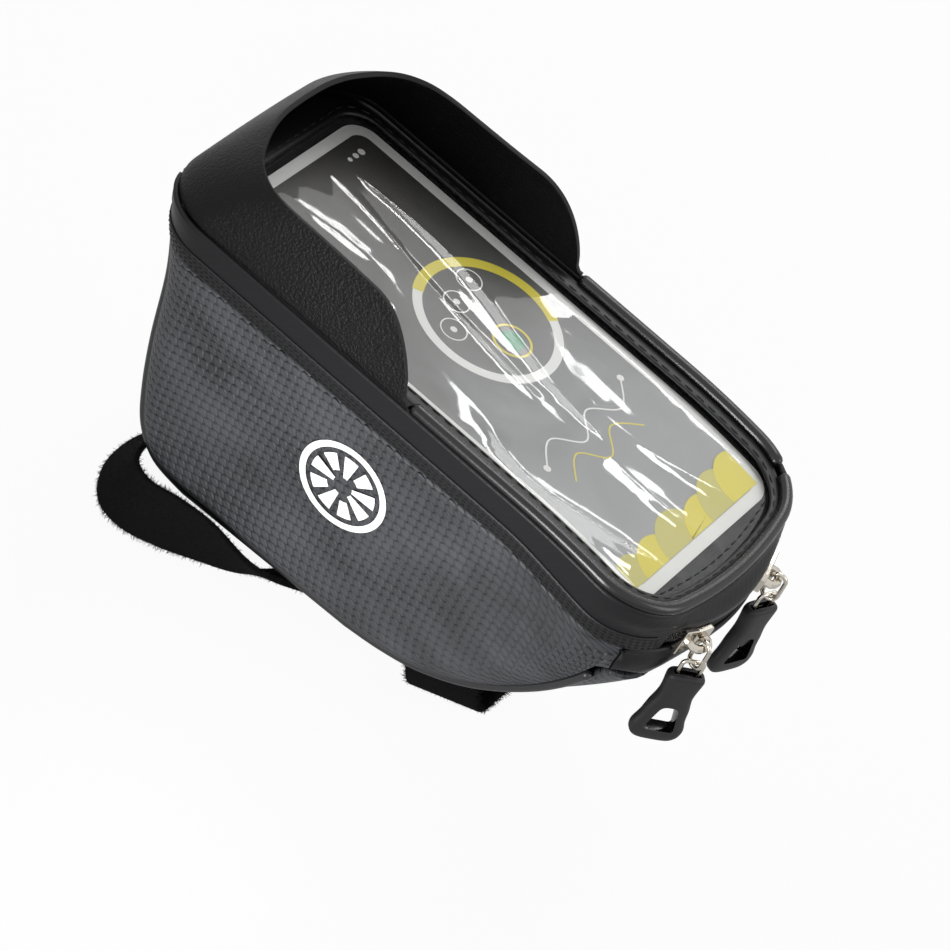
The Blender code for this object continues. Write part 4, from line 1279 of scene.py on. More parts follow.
        patch(radius * 0.86, radius, 0.0, 2 * math.pi)
        for i in range(self.print_bars):
            start = 2 * math.pi * i / self.print_bars + 0.2
            patch(radius * (0.36 if i % 2 else 0.22), radius * 0.74, start, start + 0.44)
        bmesh.ops.remove_doubles(work, verts=work.verts, dist=0.01 * MM)
        for face in work.faces:
            face.normal_update()
            if face.normal.x * side < 0:
                face.normal_flip()
        crisp_edges(work)
        title = f"side_print_{name}"
        made = new_piece(title, settled(title, work), Look.WHITE_INK, "bag")
        thickened(made, self.ink)
        return made


@dataclass
class Lid:
    """Frame, piping, clear window, insert card and the pocket behind it."""

    band_top: float = 0.9 * MM
    frame_thickness: float = 1.2 * MM
    window_half: float = 38.9 * MM
    window_front: float = 13 * MM
    window_rear: float = 184 * MM
    window_corners: tuple[float, float] = (9 * MM, 17 * MM)
    crown: float = 0.55 * MM           # the frame's padding
    film_thickness: float = 0.4 * MM
    card_half: float = 38.6 * MM
    card_front: float = 15.4 * MM
    card_length: float = 162 * MM
    card_radius: float = 8 * MM
    card_thickness: float = 0.5 * MM
    card_border: float = 3.9 * MM
    card_grid: tuple[int, int] = (24, 60)
    film_grid: tuple[int, int] = (120, 180)
    screen_corner: float = 4.5 * MM
    pocket: tuple[float, ...] = (42.5 * MM, 6 * MM, 184.5 * MM, 16 * MM)
    pocket_thickness: float = 1.0 * MM
    ink: float = 0.02 * MM
    ink_lift: float = 0.10 * MM        # the printed shapes above the card

    def build(self) -> None:
        """Make every piece of the lid."""
        self.frame()
        self.piping()
        self.film()
        self.card()

    def frame(self) -> None:
        """Bound frame round the window, slightly padded, with its stitch line."""
        inner = SHAPE.lid_loop(self.window_half, self.window_front, self.window_rear,
                               *self.window_corners, SHAPE.rear_bow)
        outer = SHAPE.inset_loop(3.2 * MM)
        rows = []
        levels = 8
        for level in range(levels + 1):
            t = level / levels
            crown = self.crown * math.sin(math.pi * t) ** 0.7
            row = [(mix(a[0], b[0], t), mix(a[1], b[1], t)) for a, b in zip(outer, inner)]
            rows.append(SHAPE.on_lid(row, self.band_top - crown))
        made = sheet("window_binding", rows, Look.BINDING, self.frame_thickness, closed=True,
                     replaced=["lid_frame"])
        seam = SHAPE.lid_loop(self.window_half + 1.3 * MM, self.window_front - 2.2 * MM,
                              self.window_rear + 1.1 * MM, 9 * MM, 18 * MM, SHAPE.rear_bow)
        path = SHAPE.on_lid(seam + seam[:1], self.band_top - 0.5 * MM)
        stitches = Repeats("window_stitches", Look.THREAD, 4.4 * MM,
                           (0.5 * MM, 0.55 * MM, 3.0 * MM))
        stitches.build([path])

    def piping(self) -> None:
        """Glossy piping round the lid behind the visor; its ends meet at the right rear corner."""
        loop = SHAPE.inset_loop(SHAPE.piping_radius)
        join_back, start = 174 * MM, SHAPE.visor_back + 2 * MM
        turn = -20 * MM                # across, where the left side gives way to the rear end
        right = sorted((p for p in loop if p[0] > 0 and start < p[1] < join_back),
                       key=lambda p: p[1])
        left = sorted((p for p in loop if p[0] < turn and start < p[1]), key=lambda p: p[1])
        end = sorted(p for p in loop if p[1] > join_back + 3 * MM and p[0] > turn)
        for name, points in (("right", [(right[0][0], start)] + right),
                             ("left", [(left[0][0], start)] + left + end)):
            tube(f"lid_cord_{name}", SHAPE.on_lid(points, 0.0), SHAPE.piping_radius, Look.PIPING,
                 f"lid_piping_{name}", sides=20)

    def deck(self, half_width: float, front: float, rear: float, radius: float, down: float,
             grid: tuple[int, int], lift: Callable[[float, float], float] | None = None) -> Rows:
        """Rows of a rounded rectangle that follows the lid.

        Args:
            half_width: half its width.
            front: its front edge.
            rear: its rear edge.
            radius: its corners.
            down: depth below the lid.
            grid: stretches across and along.
            lift: height of a wrinkle at (across, back).

        Returns:
            The rows, from front to rear.
        """
        columns, levels = grid

        def half_at(back: float) -> float:
            """Half the width at a distance back, less at the rounded corners."""
            edge = min(back - front, rear - back)
            if edge >= radius:
                return half_width
            return half_width - radius + math.sqrt(max(0.0, radius ** 2 - (radius - edge) ** 2))

        corner = [radius * (1 - math.cos(0.5 * math.pi * i / 10)) for i in range(11)]
        backs = [front + c for c in corner]
        backs += [mix(front + radius, rear - radius, i / levels) for i in range(1, levels)]
        backs += [rear - c for c in corner[::-1]]
        rows = []
        for back in backs:
            half = half_at(back)
            row = []
            for i in range(columns + 1):
                x = half * (2 * i / columns - 1)
                rise = lift(x, back) if lift else 0.0
                row.append(SHAPE.place(x, back, down + SHAPE.droop(back) - rise))
            rows.append(row)
        return rows

    def wrinkle(self, x: float, back: float) -> float:
        """Height of the film's wrinkles: long soft folds that run with the bag."""
        hold = ease(self.window_half - abs(x), 0.0, 5 * MM)
        hold *= ease(back - self.window_front, 0.0, 8 * MM)
        hold *= ease(self.window_rear - back, 0.0, 8 * MM)
        drift = noise.noise(Vector((x * 14, back * 9, 5.3)))
        long = noise.noise(Vector((x * 50 + 1.8 * drift, back * 9 + x * 10, 1.7)))
        across = x * 62 + 2.4 * drift + 0.8 * long
        crease = 1 - abs(noise.noise(Vector((across, back * 12 - x * 12, 9.4))))
        fine = noise.noise(Vector((x * 150 + 3 * drift, back * 30 + 2 * long, 7.1)))
        slack = mix(0.45, 1.0, ease(back, 30 * MM, 85 * MM))
        return hold * slack * MM * (0.66 * long + 0.46 * crease ** 5 + 0.08 * fine + 0.25)

    def film(self) -> None:
        """Clear film over the card, softly wrinkled."""
        below = self.band_top + self.frame_thickness + GAP
        rows = self.deck(self.window_half + 2.2 * MM, self.window_front - 2 * MM,
                         self.window_rear + 1 * MM, 14 * MM, below, self.film_grid, self.wrinkle)
        made = sheet("clear_window", rows, Look.FILM, 0.2 * MM, flip=True, replaced=["window_film"])
        path = []
        for i in range(61):
            x = mix(-29 * MM, 29 * MM, i / 60)
            back = self.window_rear - 2.2 * MM - x * x / (2 * SHAPE.rear_bow)
            down = below + SHAPE.droop(back) - self.wrinkle(x, back) - 0.1 * MM
            path.append(SHAPE.place(x, back, down))
        stitches = Repeats("film_stitches", Look.THREAD, 3.9 * MM, (0.55 * MM, 0.6 * MM, 2.9 * MM))
        stitches.build([path])

    def card(self) -> None:
        """Printed card: white border, a screen darkening to the front, partly as painted shade of
        the visor, and simple shapes on it.
        """
        below = self.band_top + self.frame_thickness + 0.9 * MM + self.film_thickness
        rear = self.card_front + self.card_length
        rows = self.deck(self.card_half, self.card_front, rear, self.card_radius, below,
                         self.card_grid)
        sheet("card_sheet", rows, Look.WHITE_INK, self.card_thickness, flip=True,
              replaced=["insert_card"], crisp=True)
        border = self.card_border
        rows = self.deck(self.card_half - border, self.card_front + border, rear - border,
                         self.screen_corner, below - 0.06 * MM, self.card_grid)
        sheet("card_screen", rows, Look.SCREEN, 0.04 * MM, flip=True, crisp=True)
        self.prints(below)
        rows = self.deck(*self.pocket, below + self.card_thickness + 0.2 * MM, self.card_grid)
        made = sheet("pocket_backing", rows, Look.LINING, self.pocket_thickness, flip=True,
                     replaced=["phone_pocket_panel"])

    def blob(self, name: str, outline: Outline, inner: float, lift: float,
             look: Look, below: float) -> None:
        """A flat printed shape between an outline and the same outline shrunk.

        Args:
            name: the piece's name.
            outline: points across and back.
            inner: size of the hole, 0 for none.
            lift: height above the card.
            look: its ink.
            below: the card's depth.
        """
        points = [p for p, after in zip(outline, outline[1:] + outline[:1])
                  if math.dist(p, after) > 0.02 * MM]
        cx, cb = (sum(p[k] for p in points) / len(points) for k in (0, 1))
        rings = 2 if inner > 0 else 7
        rows = []
        for k in range(rings + 1):
            t = mix(1.0, max(inner, 0.05), k / rings)
            row = [(mix(cx, x, t), mix(cb, back, t)) for x, back in points]
            rows.append(SHAPE.on_lid(row, below - lift))
        sheet(name, rows, look, self.ink, closed=True, flip=True, crisp=True, filled=not inner)

    def disc(self, name: str, place: tuple[float, float], radius: float, hole: float, look: Look,
             below: float, lift: float | None = None) -> None:
        """A printed disc or ring on the card, cut off at the screen's edge.

        Args:
            name: the piece's name.
            place: across and back, in millimetres.
            radius: of the outside, in millimetres.
            hole: share of the radius left open, 0 for none.
            look: its ink.
            below: the card's depth.
            lift: height above the card, if not the usual one.
        """
        (x, back), turns = place, max(24, int(radius * 5))
        side = 34.5                    # of the screen, in millimetres like the rear end
        last = self.card_front / MM + self.card_length / MM - 4.1
        outline = []
        for angle in (2 * math.pi * i / turns for i in range(turns)):
            outline.append((min(side, max(-side, x + radius * math.cos(angle))) * MM,
                            min(last, back + radius * math.sin(angle)) * MM))
        self.blob(name, outline, hole, self.ink_lift if lift is None else lift, look, below)

    def stroke(self, name: str, points: Outline, width: float, look: Look,
               below: float) -> None:
        """A printed line on the card through points across and back; sizes in millimetres."""
        path = spline([tuple(point) for point in points], 8)
        rows: Rows = [[], []]
        for i, (x, back) in enumerate(path):
            nx, nb = (part * width / 2 for part in square_to(path, i))
            edges = [((x + sign * nx) * MM, (back + sign * nb) * MM) for sign in (1, -1)]
            for row, point in zip(rows, SHAPE.on_lid(edges, below - self.ink_lift)):
                row.append(point)
        sheet(name, rows, look, self.ink, crisp=True)

    def prints(self, below: float) -> None:
        """Plain printed shapes: a ring with dotted buttons, wave lines and rear discs."""
        white, yellow, pale = Look.WHITE_INK, Look.YELLOW_INK, Look.PALE_INK
        centre, radius = (8.0, 88.0), 23.6
        self.disc("print_ring", centre, radius, 0.87, white, below)
        rows: Rows = [[], []]
        for row, reach in zip(rows, (radius * 1.01, radius * 0.86)):
            for i in range(41):
                angle = math.radians(-118 + 150 * i / 40)
                row.append(SHAPE.place((centre[0] + reach * math.cos(angle)) * MM,
                                       (centre[1] + reach * math.sin(angle)) * MM,
                                       below - 0.13 * MM))
        sheet("print_ring_arc", rows, yellow, self.ink, flip=True, crisp=True)
        for i, place in enumerate(((-5, 84), (5, 78), (16, 75))):
            self.disc(f"print_button_{i}", place, 4.3, 0.9, white, below)
            self.disc(f"print_dot_{i}", place, 1.1, 0.0, white, below)
        self.disc("print_knob_ring", (8, 97), 6.4, 0.88, yellow, below)
        self.disc("print_knob", (8, 97), 3.8, 0.0, Look.GREEN_INK, below)
        wave = ((-24, 132), (-14, 126), (-4, 133), (6, 126), (17, 132), (27, 125))
        self.stroke("print_wave_long", wave, 0.55, white, below)
        self.stroke("print_wave_short", ((-20, 140), (-11, 134), (-2, 141), (8, 134), (18, 140)),
                    0.5, yellow, below)
        for i, place in enumerate((wave[0], wave[-1])):
            self.disc(f"print_end_{i}", place, 1.2, 0.0, white, below, 0.11 * MM)
        for i, x in enumerate((22, 25, 28)):
            self.disc(f"print_top_dot_{i}", (x, 25), 0.8 + 0.2 * i, 0.0, white, below)
        for i, (place, size, ink) in enumerate((
                ((-30, 172), 8, pale), ((-18, 174), 10, yellow), ((-5, 173), 11, pale),
                ((9, 176), 12, yellow), ((20, 172), 11, pale), ((31, 170), 10, yellow))):
            self.disc(f"print_rear_disc_{i}", place, size, 0.0, ink, below,
                      (0.08 + 0.035 * i) * MM)


@dataclass
class Visor:
    """Stiff leatherette hood round the lid's front half."""

    height: float = 22 * MM
    thickness: float = 1.5 * MM
    sweep_start: float = 64 * MM
    tip_height: float = 0.8 * MM
    inset: float = 0.2 * MM            # of the foot from the lid's edge
    tuck: float = 1.0 * MM             # the foot's reach into the front seam
    columns: int = 110
    levels: int = 22
    rim: tuple[tuple[float, float], ...] = (
        (0, 10.6), (10, 11.0), (18.6, 12.6), (25.8, 15.3), (31.3, 18.0), (35.8, 21.4), (39.1, 25.5),
        (41.4, 30.5), (42.6, 37.6), (42.9, 46), (43.4, 60), (44.4, 75), (45.8, 88), (46.6, 95))

    def build(self) -> None:
        """Make the hood and the pale cut edge along its rim."""
        inset = self.inset
        half, corner = SHAPE.lid_half_width - inset, SHAPE.front_radius - inset
        base = [(0.0, inset)]
        base += [(half - corner + corner * math.sin(a), inset + corner * (1 - math.cos(a)))
                 for a in (0.5 * math.pi * i / 20 for i in range(21))]
        base.append((half, SHAPE.visor_back))
        rim = spline([(x * MM, back * MM) for x, back in self.rim], 6)
        columns = []
        for i in range(self.columns + 1):
            (x0, b0), (x1, b1) = along(base, i / self.columns), along(rim, i / self.columns)
            sweep = SHAPE.visor_back - 2 * MM - self.sweep_start
            past = min(1.0, max(0.0, (b0 - self.sweep_start) / sweep))
            height = max(self.tip_height, self.height * (1 - past ** 2) ** 0.7)
            column = []
            for level in range(self.levels + 1):
                rise = height * level / self.levels
                lean = (rise / self.height) ** 1.4
                down = -rise if level else self.tuck * (1 - ease(b0, 3 * MM, 16 * MM))
                column.append((mix(x0, x1, lean), mix(b0, b1, lean), down))
            columns.append(column)
        rows = []
        for level in range(self.levels, -1, -1):
            right = [column[level] for column in columns]
            left = [(-x, back, down) for x, back, down in right[:0:-1]]
            rows.append([SHAPE.place(*point) for point in left + right])
        hood = sheet("visor_hood", rows, Look.VISOR, self.thickness, replaced=["sun_visor"])
        # the inner face gets the darker copy of the leatherette as painted shade; the rim gets the
        # cut edge
        for look in (Look.VISOR_INNER_SHADE, Look.CUT_EDGE):
            hood.data.materials.append(material(look))
        hood.modifiers["Thickness"].material_offset = 1
        hood.modifiers["Thickness"].material_offset_rim = 2
        softened(hood, 0.3 * MM)


@dataclass
class Zip:
    """Coil zip across the rear end: the joined coils on their tapes, and the two sliders."""

    reach: float = math.radians(27)
    inset: float = 1.2 * MM
    slot_reach: float = 2.4 * MM
    tooth: tuple[float, float, float] = (1.5 * MM, 1.9 * MM, 0.62 * MM)
    spacing: float = 0.98 * MM
    gauge: float = 0.95 * MM           # from the zip's middle to each row of coils
    count: int = 90
    core: float = 0.6 * MM
    tape: float = 0.5 * MM

    def build(self, nodes: dict[str, Piece]) -> None:
        """Make the coils and tape and dress the carried-over sliders.

        Args:
            nodes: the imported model's objects.
        """
        depth, count = SHAPE.zip_depth, self.count
        rows = SHAPE.zip_rows(self.reach, count, self.inset + 0.55 * MM,
                              [depth + step * MM for step in (-2.1, -0.9, 0.9, 2.1)])
        sheet("coil_core", rows, Look.LINING, self.core, flip=True, replaced=["zip_chain"])
        paths = []
        for row in (-1, 1):
            shift = 0.5 * self.spacing / SHAPE.zip_radius if row > 0 else 0.0
            angles = [mix(-self.reach, self.reach, i / count) + shift for i in range(count)]
            paths.append([SHAPE.zip_point(angle, self.inset + 0.2 * MM, depth + row * self.gauge)
                          for angle in angles])
        Repeats("zip_coils", Look.COIL, self.spacing, self.tooth).build(paths)
        edge = SHAPE.zip_slot + self.slot_reach
        rows = SHAPE.zip_rows(self.reach, count, self.inset + 1.1 * MM,
                              [depth + edge * share for share in (-1, -0.5, 0, 0.5, 1)])
        made = sheet("zip_tape", rows, Look.LINING, self.tape, flip=True,
                     replaced=["zip_tape_upper", "zip_tape_lower"])
        for name in ("slider_left", "slider_right"):
            dress(nodes[name], Look.NICKEL)


@dataclass
class Pull:
    """What hangs from one slider: a wire link, a wire clip and a moulded grip."""

    side: str
    sign: int
    turn: float
    slider_angle: float = math.radians(16.8)
    plate: float = 1.2 * MM
    bridge_rise: float = 3.4 * MM
    wire: float = 0.65 * MM
    link_radius: float = 2.35 * MM
    link_drop: float = 5.0 * MM
    clip_width: float = 6.4 * MM
    clip_height: float = 7.5 * MM
    clip_corner: float = 1.3 * MM
    top: float = 11 * MM
    flare: float = 16 * MM
    length: float = 27 * MM
    thickness: float = 5.4 * MM
    socket: float = 3.6 * MM
    around: int = 48
    # Down the grip: fall, shares of the top's and the flare's width, share of the thickness
    profile: tuple[tuple[float, ...], ...] = (
        (0, 0.86, 0.0, 0.78), (0.012, 0.96, 0.0, 0.93), (0.035, 1.0, 0.01, 1.0),
        (0.08, 1.0, 0.02, 1.0), (0.3, 0.93, 0.0, 0.94), (0.5, 0.82, 0.22, 0.88),
        (0.66, 0.5, 0.52, 0.84), (0.8, 0.0, 1.0, 0.82), (0.9, 0.0, 0.96, 0.82),
        (0.96, 0.0, 0.82, 0.72), (0.985, 0.0, 0.68, 0.58), (1.0, 0.0, 0.5, 0.36))
    # Right corners of the finger hole: millimetres across, share of the length, rounding
    hole_corners: tuple[tuple[float, float, float], ...] = (
        (2.5, -0.46, 2.0), (4.7, -0.825, 1.3))

    def hang(self) -> Matrix:
        """Place of the slider's bridge: X along the chain, Y out of the bag, Z up."""
        angle = self.sign * self.slider_angle
        origin = SHAPE.zip_point(angle, 0, SHAPE.zip_depth)
        centre = SHAPE.place(0, SHAPE.zip_back - SHAPE.zip_radius, SHAPE.zip_depth)
        out = (origin - centre).normalized()
        up = FRAME.to_3x3() @ Vector((0, 0, 1))
        chain = up.cross(out).normalized()
        if chain.x * self.sign < 0:
            chain = -chain
        slider = Matrix((chain, out, up)).transposed().to_4x4()
        slider.translation = origin
        level = slider.to_3x3() @ Vector((self.sign, 0, 0))
        level = (level - Vector((0, 0, level.z))).normalized()
        outward = Vector((level.y, -level.x, 0))
        placed = Matrix((level, outward, Vector((0, 0, 1)))).transposed().to_4x4()
        placed.translation = slider @ Vector((0, GAP + self.plate + self.bridge_rise, 0))
        return placed

    def build(self) -> None:
        """Make the three pieces on their bodies."""
        hang = self.hang()
        link = []
        for middle, start in ((0.0, 0), (-self.link_drop, 180)):
            for i in range(17):
                angle = math.radians(start + 180 * i / 16)
                link.append(hang @ Vector((0, self.link_radius * math.cos(angle),
                                           middle + self.link_radius * math.sin(angle))))
        tube(f"wire_link_{self.side}", link, self.wire, Look.NICKEL, f"puller_link_{self.side}",
             f"link_{self.side}", closed=True)
        seat = self.link_radius - 2 * self.wire - GAP
        lower = hang @ Vector((0, 0, -self.link_drop - seat))
        turned = (Matrix.Translation(lower) @ hang.to_3x3().to_4x4()
                  @ Matrix.Rotation(self.turn, 4, "Z"))
        half, corner = self.clip_width / 2, self.clip_corner
        clip = []
        for x, z, start in ((half - corner, -corner, 0), (-half + corner, -corner, 90),
                            (-half + corner, -self.clip_height + corner, 180),
                            (half - corner, -self.clip_height + corner, 270)):
            for i in range(9):
                angle = math.radians(start + 90 * i / 8)
                clip.append(turned @ Vector((x + corner * math.cos(angle), 0,
                                             z + corner * math.sin(angle))))
        tube(f"wire_clip_{self.side}", clip, self.wire, Look.NICKEL, f"grip_clip_{self.side}",
             f"pull_{self.side}", closed=True)
        head = -self.clip_height + self.socket - GAP - self.wire
        self.grip(turned @ Matrix.Translation((0, 0, head)))

    def section(self, fall: float, width: float, depth: float) -> list[Vector]:
        """One rounded section of the grip."""
        points = []
        for i in range(self.around):
            angle = 2 * math.pi * i / self.around
            c, s = math.cos(angle), math.sin(angle)
            points.append(Vector((math.copysign(abs(c) ** 0.6, c) * width,
                                  math.copysign(abs(s) ** 0.6, s) * depth, -fall * self.length)))
        return points

    def grip(self, place: Matrix) -> None:
        """The moulded grip, its finger hole and the slot for the clip cut by Booleans.

        Args:
            place: matrix of its upper end.
        """
        work = bmesh.new()
        rings = []
        for fall, of_top, of_flare, of_thick in spline(self.profile, 4):
            width = of_top * self.top / 2 + of_flare * self.flare / 2
            ring = self.section(min(1.0, max(0.0, fall)), width, of_thick * self.thickness / 2)
            rings.append([work.verts.new(point) for point in ring])
        ring_faces(work, rings)
        work.faces.new(rings[0])
        work.faces.new(rings[-1][::-1])
        bmesh.ops.remove_doubles(work, verts=work.verts, dist=0.001 * MM)
        bmesh.ops.recalc_face_normals(work, faces=work.faces)
        title = f"grip_{self.side}"
        blank = linked(title + "_blank", settled(title + "_blank", work))
        cutters = [self.hole(), self.slot()]
        for thing in (blank, *cutters):
            for look in (Look.RUBBER, Look.POLISHED):
                thing.data.materials.append(material(look))
        for cutter in cutters:
            for face in cutter.data.polygons:
                face.material_index = 1
            cut = blank.modifiers.new(cutter.name, "BOOLEAN")
            cut.operation = "DIFFERENCE"
            cut.solver = "EXACT"
            cut.object = cutter
        softened(blank, 0.45 * MM, 3, 40)
        made = evaluated(blank)
        for thing in (blank, *cutters):
            bpy.data.objects.remove(thing)
        made.transform(place)
        made.name = title
        made.shade_smooth()
        new_piece(title, made, Look.RUBBER, f"pull_{self.side}", [f"pull_grip_{self.side}"])

    def prism(self, name: str, outline: Line,
              depth: float) -> Piece:
        """A cutter from an outline in the grip's face."""
        work = bmesh.new()
        face = work.faces.new([work.verts.new((x, -depth / 2, z)) for x, z in outline])
        raised = bmesh.ops.extrude_face_region(work, geom=[face])
        moved = [item for item in raised["geom"] if isinstance(item, bmesh.types.BMVert)]
        bmesh.ops.translate(work, verts=moved, vec=(0, depth, 0))
        bmesh.ops.recalc_face_normals(work, faces=work.faces)
        return linked(name, settled(name, work))

    def hole(self) -> Piece:
        """Cutter of the tapered finger hole with rounded corners."""
        right = [((x * MM, z * self.length), size * MM) for x, z, size in self.hole_corners]
        left = [((-x, z), size) for (x, z), size in right[::-1]]
        quad = right + left
        outline = []
        for (before, _), (corner, size), (after, _) in zip(quad[-1:] + quad, quad,
                                                           quad[1:] + quad[:1]):
            start = along([corner, before], min(0.45, size / math.dist(corner, before)))
            end = along([corner, after], min(0.45, size / math.dist(corner, after)))
            for t in (i / 5 for i in range(6)):
                outline.append(tuple(mix(mix(p, q, t), mix(q, r, t), t)
                                     for p, q, r in zip(start, corner, end)))
        return self.prism("finger_hole", outline, 3 * self.thickness)

    def slot(self) -> Piece:
        """Cutter of the slot that the clip hangs in."""
        half, depth = self.clip_width / 2 + self.wire + GAP, 2 * (self.wire + GAP)
        outline = [(-half, self.socket), (-half, -self.socket), (half, -self.socket),
                   (half, self.socket)]
        return self.prism("clip_slot", outline, depth)


@dataclass
class Straps:
    """The two hook-and-loop straps: fine tapes with a napped surface and fuzzy edges."""

    thickness: float = 1.8 * MM
    head_width: float = 20 * MM
    base_width: float = 24 * MM
    across: int = 10
    # Middle of the long strap: across, forward, height and quarter turns
    head: tuple[tuple[float, ...], ...] = (
        (4, -38, -3.4, 0.0), (-3, -31, -3.7, 0.0), (-11, -22, -5.2, 0.06),
        (-21, -11, -7.6, 0.3), (-31, 2, -8.6, 0.52), (-37.6, 17, -5.2, 0.84),
        (-42, 28, -4.0, 1.0), (-44.5, 38, -4.0, 1.05), (-41, 47, -4.4, 1.15),
        (-31, 52, -4.8, 1.27), (-20, 52.5, -5.6, 1.4), (-11, 48, -6.8, 1.68),
        (-5, 38, -4.6, 1.9), (0, 25, -2.4, 2.0), (1, 8, -1.6, 2.0),
        (1, -10, -1.6, 2.0), (1, -26, -1.5, 2.0))
    # Short strap: its slope, half its straight run, its rounding and its middle
    base_slope: float = math.radians(21)
    base_half: float = 15.8 * MM
    base_radius: float = 7.0 * MM
    base_middle: Place = (0, -62 * MM, -3.8 * MM)

    def build(self) -> None:
        """Make both straps."""
        up = Vector((0, 0, 1))
        path = spline(self.head, 12)
        centres = [Vector(point[:3]) * MM for point in path]
        widths = []
        for i, point in enumerate(path):
            tangent = centres[min(i + 1, len(path) - 1)] - centres[max(i - 1, 0)]
            side = tangent.cross(up).normalized()
            angle = 0.5 * math.pi * point[3]
            widths.append(side * math.cos(angle) - up * math.sin(angle))
        self.ribbon("head_tube_loop", centres, widths, self.head_width, "head_tube_strap", 1)
        slope, half, radius = self.base_slope, self.base_half, self.base_radius
        width = Vector((0, math.cos(slope), -math.sin(slope)))
        lift = Vector((0, math.sin(slope), math.cos(slope)))
        flat = [(-half * (1 - i / 8), radius) for i in range(16)]
        flat += [(half + radius * math.cos(a), radius * math.sin(a))
                 for a in (math.radians(90 - 10 * i) for i in range(19))]
        flat += [(half * (1 - i / 8), -radius) for i in range(1, 16)]
        flat += [(-half + radius * math.cos(a), radius * math.sin(a))
                 for a in (math.radians(270 - 10 * i) for i in range(19))]
        centres = [Vector(self.base_middle) + Vector((x, 0, 0)) + lift * z for x, z in flat]
        self.ribbon("base_loop", centres, [width] * len(centres), self.base_width,
                    "base_strap", 2)

    def ribbon(self, name: str, centres: list[Vector], widths: list[Vector], width: float,
               node: str, seed: int) -> None:
        """A thick tape folded along a line, with its pile and its fringe.

        Args:
            name: the piece's name.
            centres: the middle line.
            widths: direction of the width at each point.
            width: the tape's width.
            node: the node it stands for.
            seed: of the pile.
        """
        rows = []
        for centre, direction in zip(centres, widths):
            rows.append([centre + direction * (width * (i / self.across - 0.5))
                         for i in range(self.across + 1)])
        tape = sheet(name, rows, Look.WEBBING, self.thickness, replaced=[node])
        tape.modifiers["Thickness"].offset = 0
        softened(tape, 0.5 * MM)
        pile = Pile(name + "_pile", Look.NAP, 0.9e6, 0.8 * MM, seed).build(evaluated(tape))
        fringe = Pile(name + "_fringe", Look.NAP, 9.0e6, 1.7 * MM, seed + 10).build(
            self.edges(centres, widths, width))

    def edges(self, centres: list[Vector], widths: list[Vector], width: float) -> Mesh:
        """Narrow strips along both edges of a tape, for its fringe to stand on."""
        work = bmesh.new()
        for sign in (-1, 1):
            before = None
            for i, (centre, direction) in enumerate(zip(centres, widths)):
                tangent = centres[min(i + 1, len(centres) - 1)] - centres[max(i - 1, 0)]
                normal = tangent.cross(direction).normalized() * (0.4 * self.thickness)
                edge = centre + direction * (sign * 0.5 * width)
                pair = [work.verts.new(edge + normal), work.verts.new(edge - normal)]
                if before:
                    face = [before[0], pair[0], pair[1], before[1]]
                    work.faces.new(face if sign > 0 else face[::-1])
                before = pair
        return settled("edges", work)


def dress(node: Piece, look: Look) -> None:
    """Give a carried-over node its finish."""
    for slot in node.material_slots:
        slot.material = material(look)
    LOG.info("%s wears %s", node.name, look.value.name)


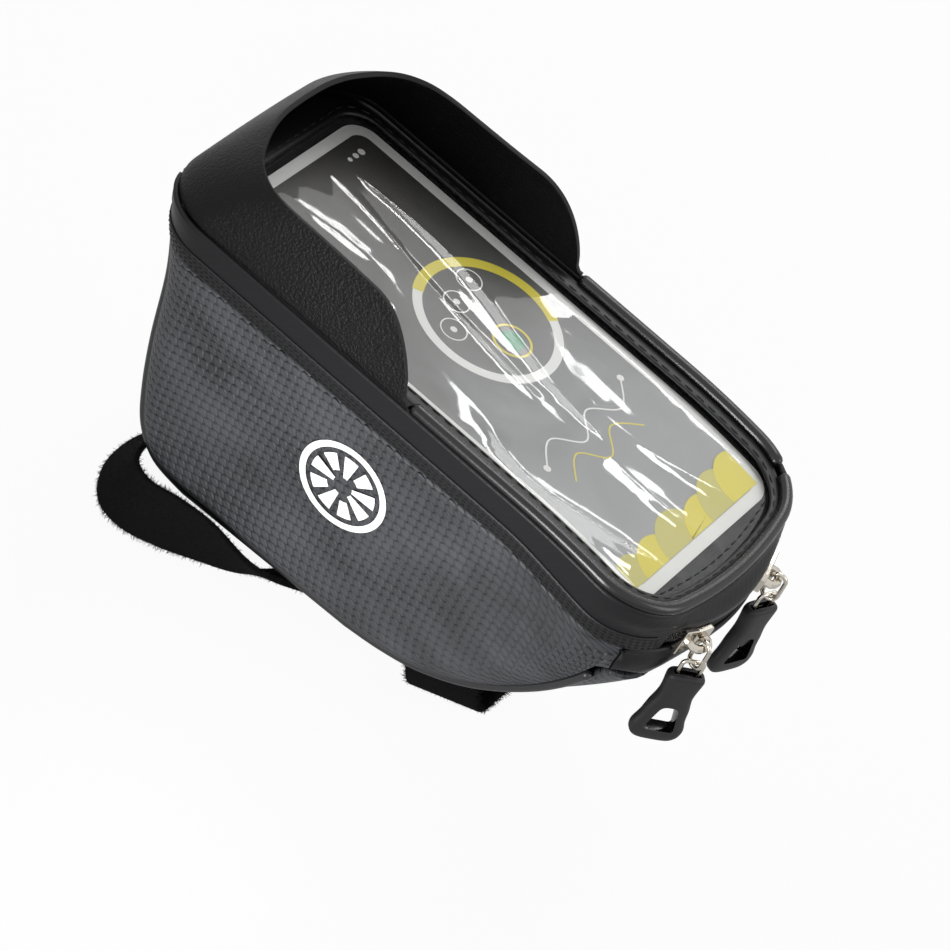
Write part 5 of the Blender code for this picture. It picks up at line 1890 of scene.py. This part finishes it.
@dataclass
class Studio:
    """Pale floor, soft lamps, a white room for reflections and the camera of the photograph."""

    floor_height: float = -17 * MM
    floor_white: float = 0.93          # share of plain white that the camera sees on the floor
    ambient: float = 0.45              # strength of the diffuse light from all round
    target: tuple[float, float, float] = (-0.03, -0.015, 0.055)
    lens: float = 178.3
    position: tuple[float, float, float] = (-1000.6, -228.2, 828.0)
    right: tuple[float, float, float] = (0.521, -0.744, 0.417)
    up: tuple[float, float, float] = (0.417, 0.649, 0.637)

    def build(self) -> None:
        """Set the stage."""
        self.floor()
        self.world()
        self.lamps()
        self.camera()
        view = bpy.context.scene.view_settings
        view.view_transform = "Standard"

    def floor(self) -> None:
        """Round floor under the bag."""
        work = bmesh.new()
        bmesh.ops.create_circle(work, cap_ends=True, segments=96, radius=4.0,
                                matrix=Matrix.Translation((0, 0, self.floor_height)))
        made = linked("floor", settled("floor", work))
        plain = bpy.data.materials.new("studio_floor")
        plain.use_nodes = True
        tree = plain.node_tree
        shader = tree.nodes["Principled BSDF"]
        shader.inputs["Base Color"].default_value = linear("#ececec")
        shader.inputs["Roughness"].default_value = 0.9
        path = add(tree, "ShaderNodeLightPath")
        white = add(tree, "ShaderNodeEmission", None, {"Color": WHITE, "Strength": 1.0})
        surface(tree, maths(tree, "MULTIPLY", path.outputs["Is Camera Ray"], self.floor_white),
                shader, white)
        made.data.materials.append(plain)

    def world(self) -> None:
        """Even pale surroundings, white where the camera sees them."""
        world = bpy.data.worlds.new("studio")
        bpy.context.scene.world = world
        world.use_nodes = True
        tree = world.node_tree
        tree.nodes.clear()
        path = add(tree, "ShaderNodeLightPath")
        seen = maths(tree, "MAXIMUM", path.outputs["Is Camera Ray"],
                     path.outputs["Is Transmission Ray"])
        glint = maths(tree, "MAXIMUM", seen, path.outputs["Is Glossy Ray"])
        power = add(tree, "ShaderNodeMapRange", None,
                    {"Value": glint, "To Min": self.ambient, "To Max": 1.0})
        light = add(tree, "ShaderNodeBackground", None, {"Color": WHITE, "Strength": power})
        add(tree, "ShaderNodeOutputWorld", None, {"Surface": light})

    def lamps(self) -> None:
        """Two long lamps along the bag, a wide one above, one from the rear and a small low one."""
        for name, place, size, power, spread in (
                ("key", (0.84, 0.11, 1.00), (0.06, 0.7), 1.5, 180),
                ("low", (1.02, 0.14, 0.79), (0.045, 0.6), 0.6, 180),
                ("sky", (0.62, 0.05, 1.22), (0.45, 0.7), 3.8, 180),
                ("rear", (0.3, -1.1, 0.6), (0.8, 0.4), 3.0, 180),
                ("side", (-0.32, -0.08, 0.10), (0.14, 0.10), 0.17, 60)):
            data = bpy.data.lights.new(name, "AREA")
            data.shape = "RECTANGLE"
            data.size, data.size_y = size
            data.energy = power
            data.spread = math.radians(spread)
            lamp = linked(name, data)
            lamp.location = place
            aim = Vector(self.target) - Vector(place)
            lamp.rotation_euler = aim.to_track_quat("-Z", "X").to_euler()

    def camera(self) -> None:
        """Camera where the photograph was taken, placed from the lid."""
        right, up = Vector(self.right).normalized(), Vector(self.up).normalized()
        back = right.cross(up).normalized()
        up = back.cross(right)
        turned = Matrix((right, up, back)).transposed().to_4x4()
        turned.translation = Vector(self.position) * MM
        data = bpy.data.cameras.new("camera")
        data.lens = self.lens
        data.sensor_width = 36.0
        data.clip_start, data.clip_end = 0.05, 20.0
        made = linked("camera", data)
        made.matrix_world = FRAME @ turned
        bpy.context.scene.camera = made


def main() -> None:
    """Load the frame, dress every body and set the stage."""
    logging.basicConfig(level=logging.INFO, format="%(message)s")
    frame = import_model()
    Studio().build()
    Shell().build()
    Lid().build()
    Visor().build()
    Zip().build(frame["nodes"])
    Pull("left", -1, math.radians(32)).build()
    Pull("right", 1, math.radians(38)).build()
    Straps().build()


if __name__ == "__main__":
    main()
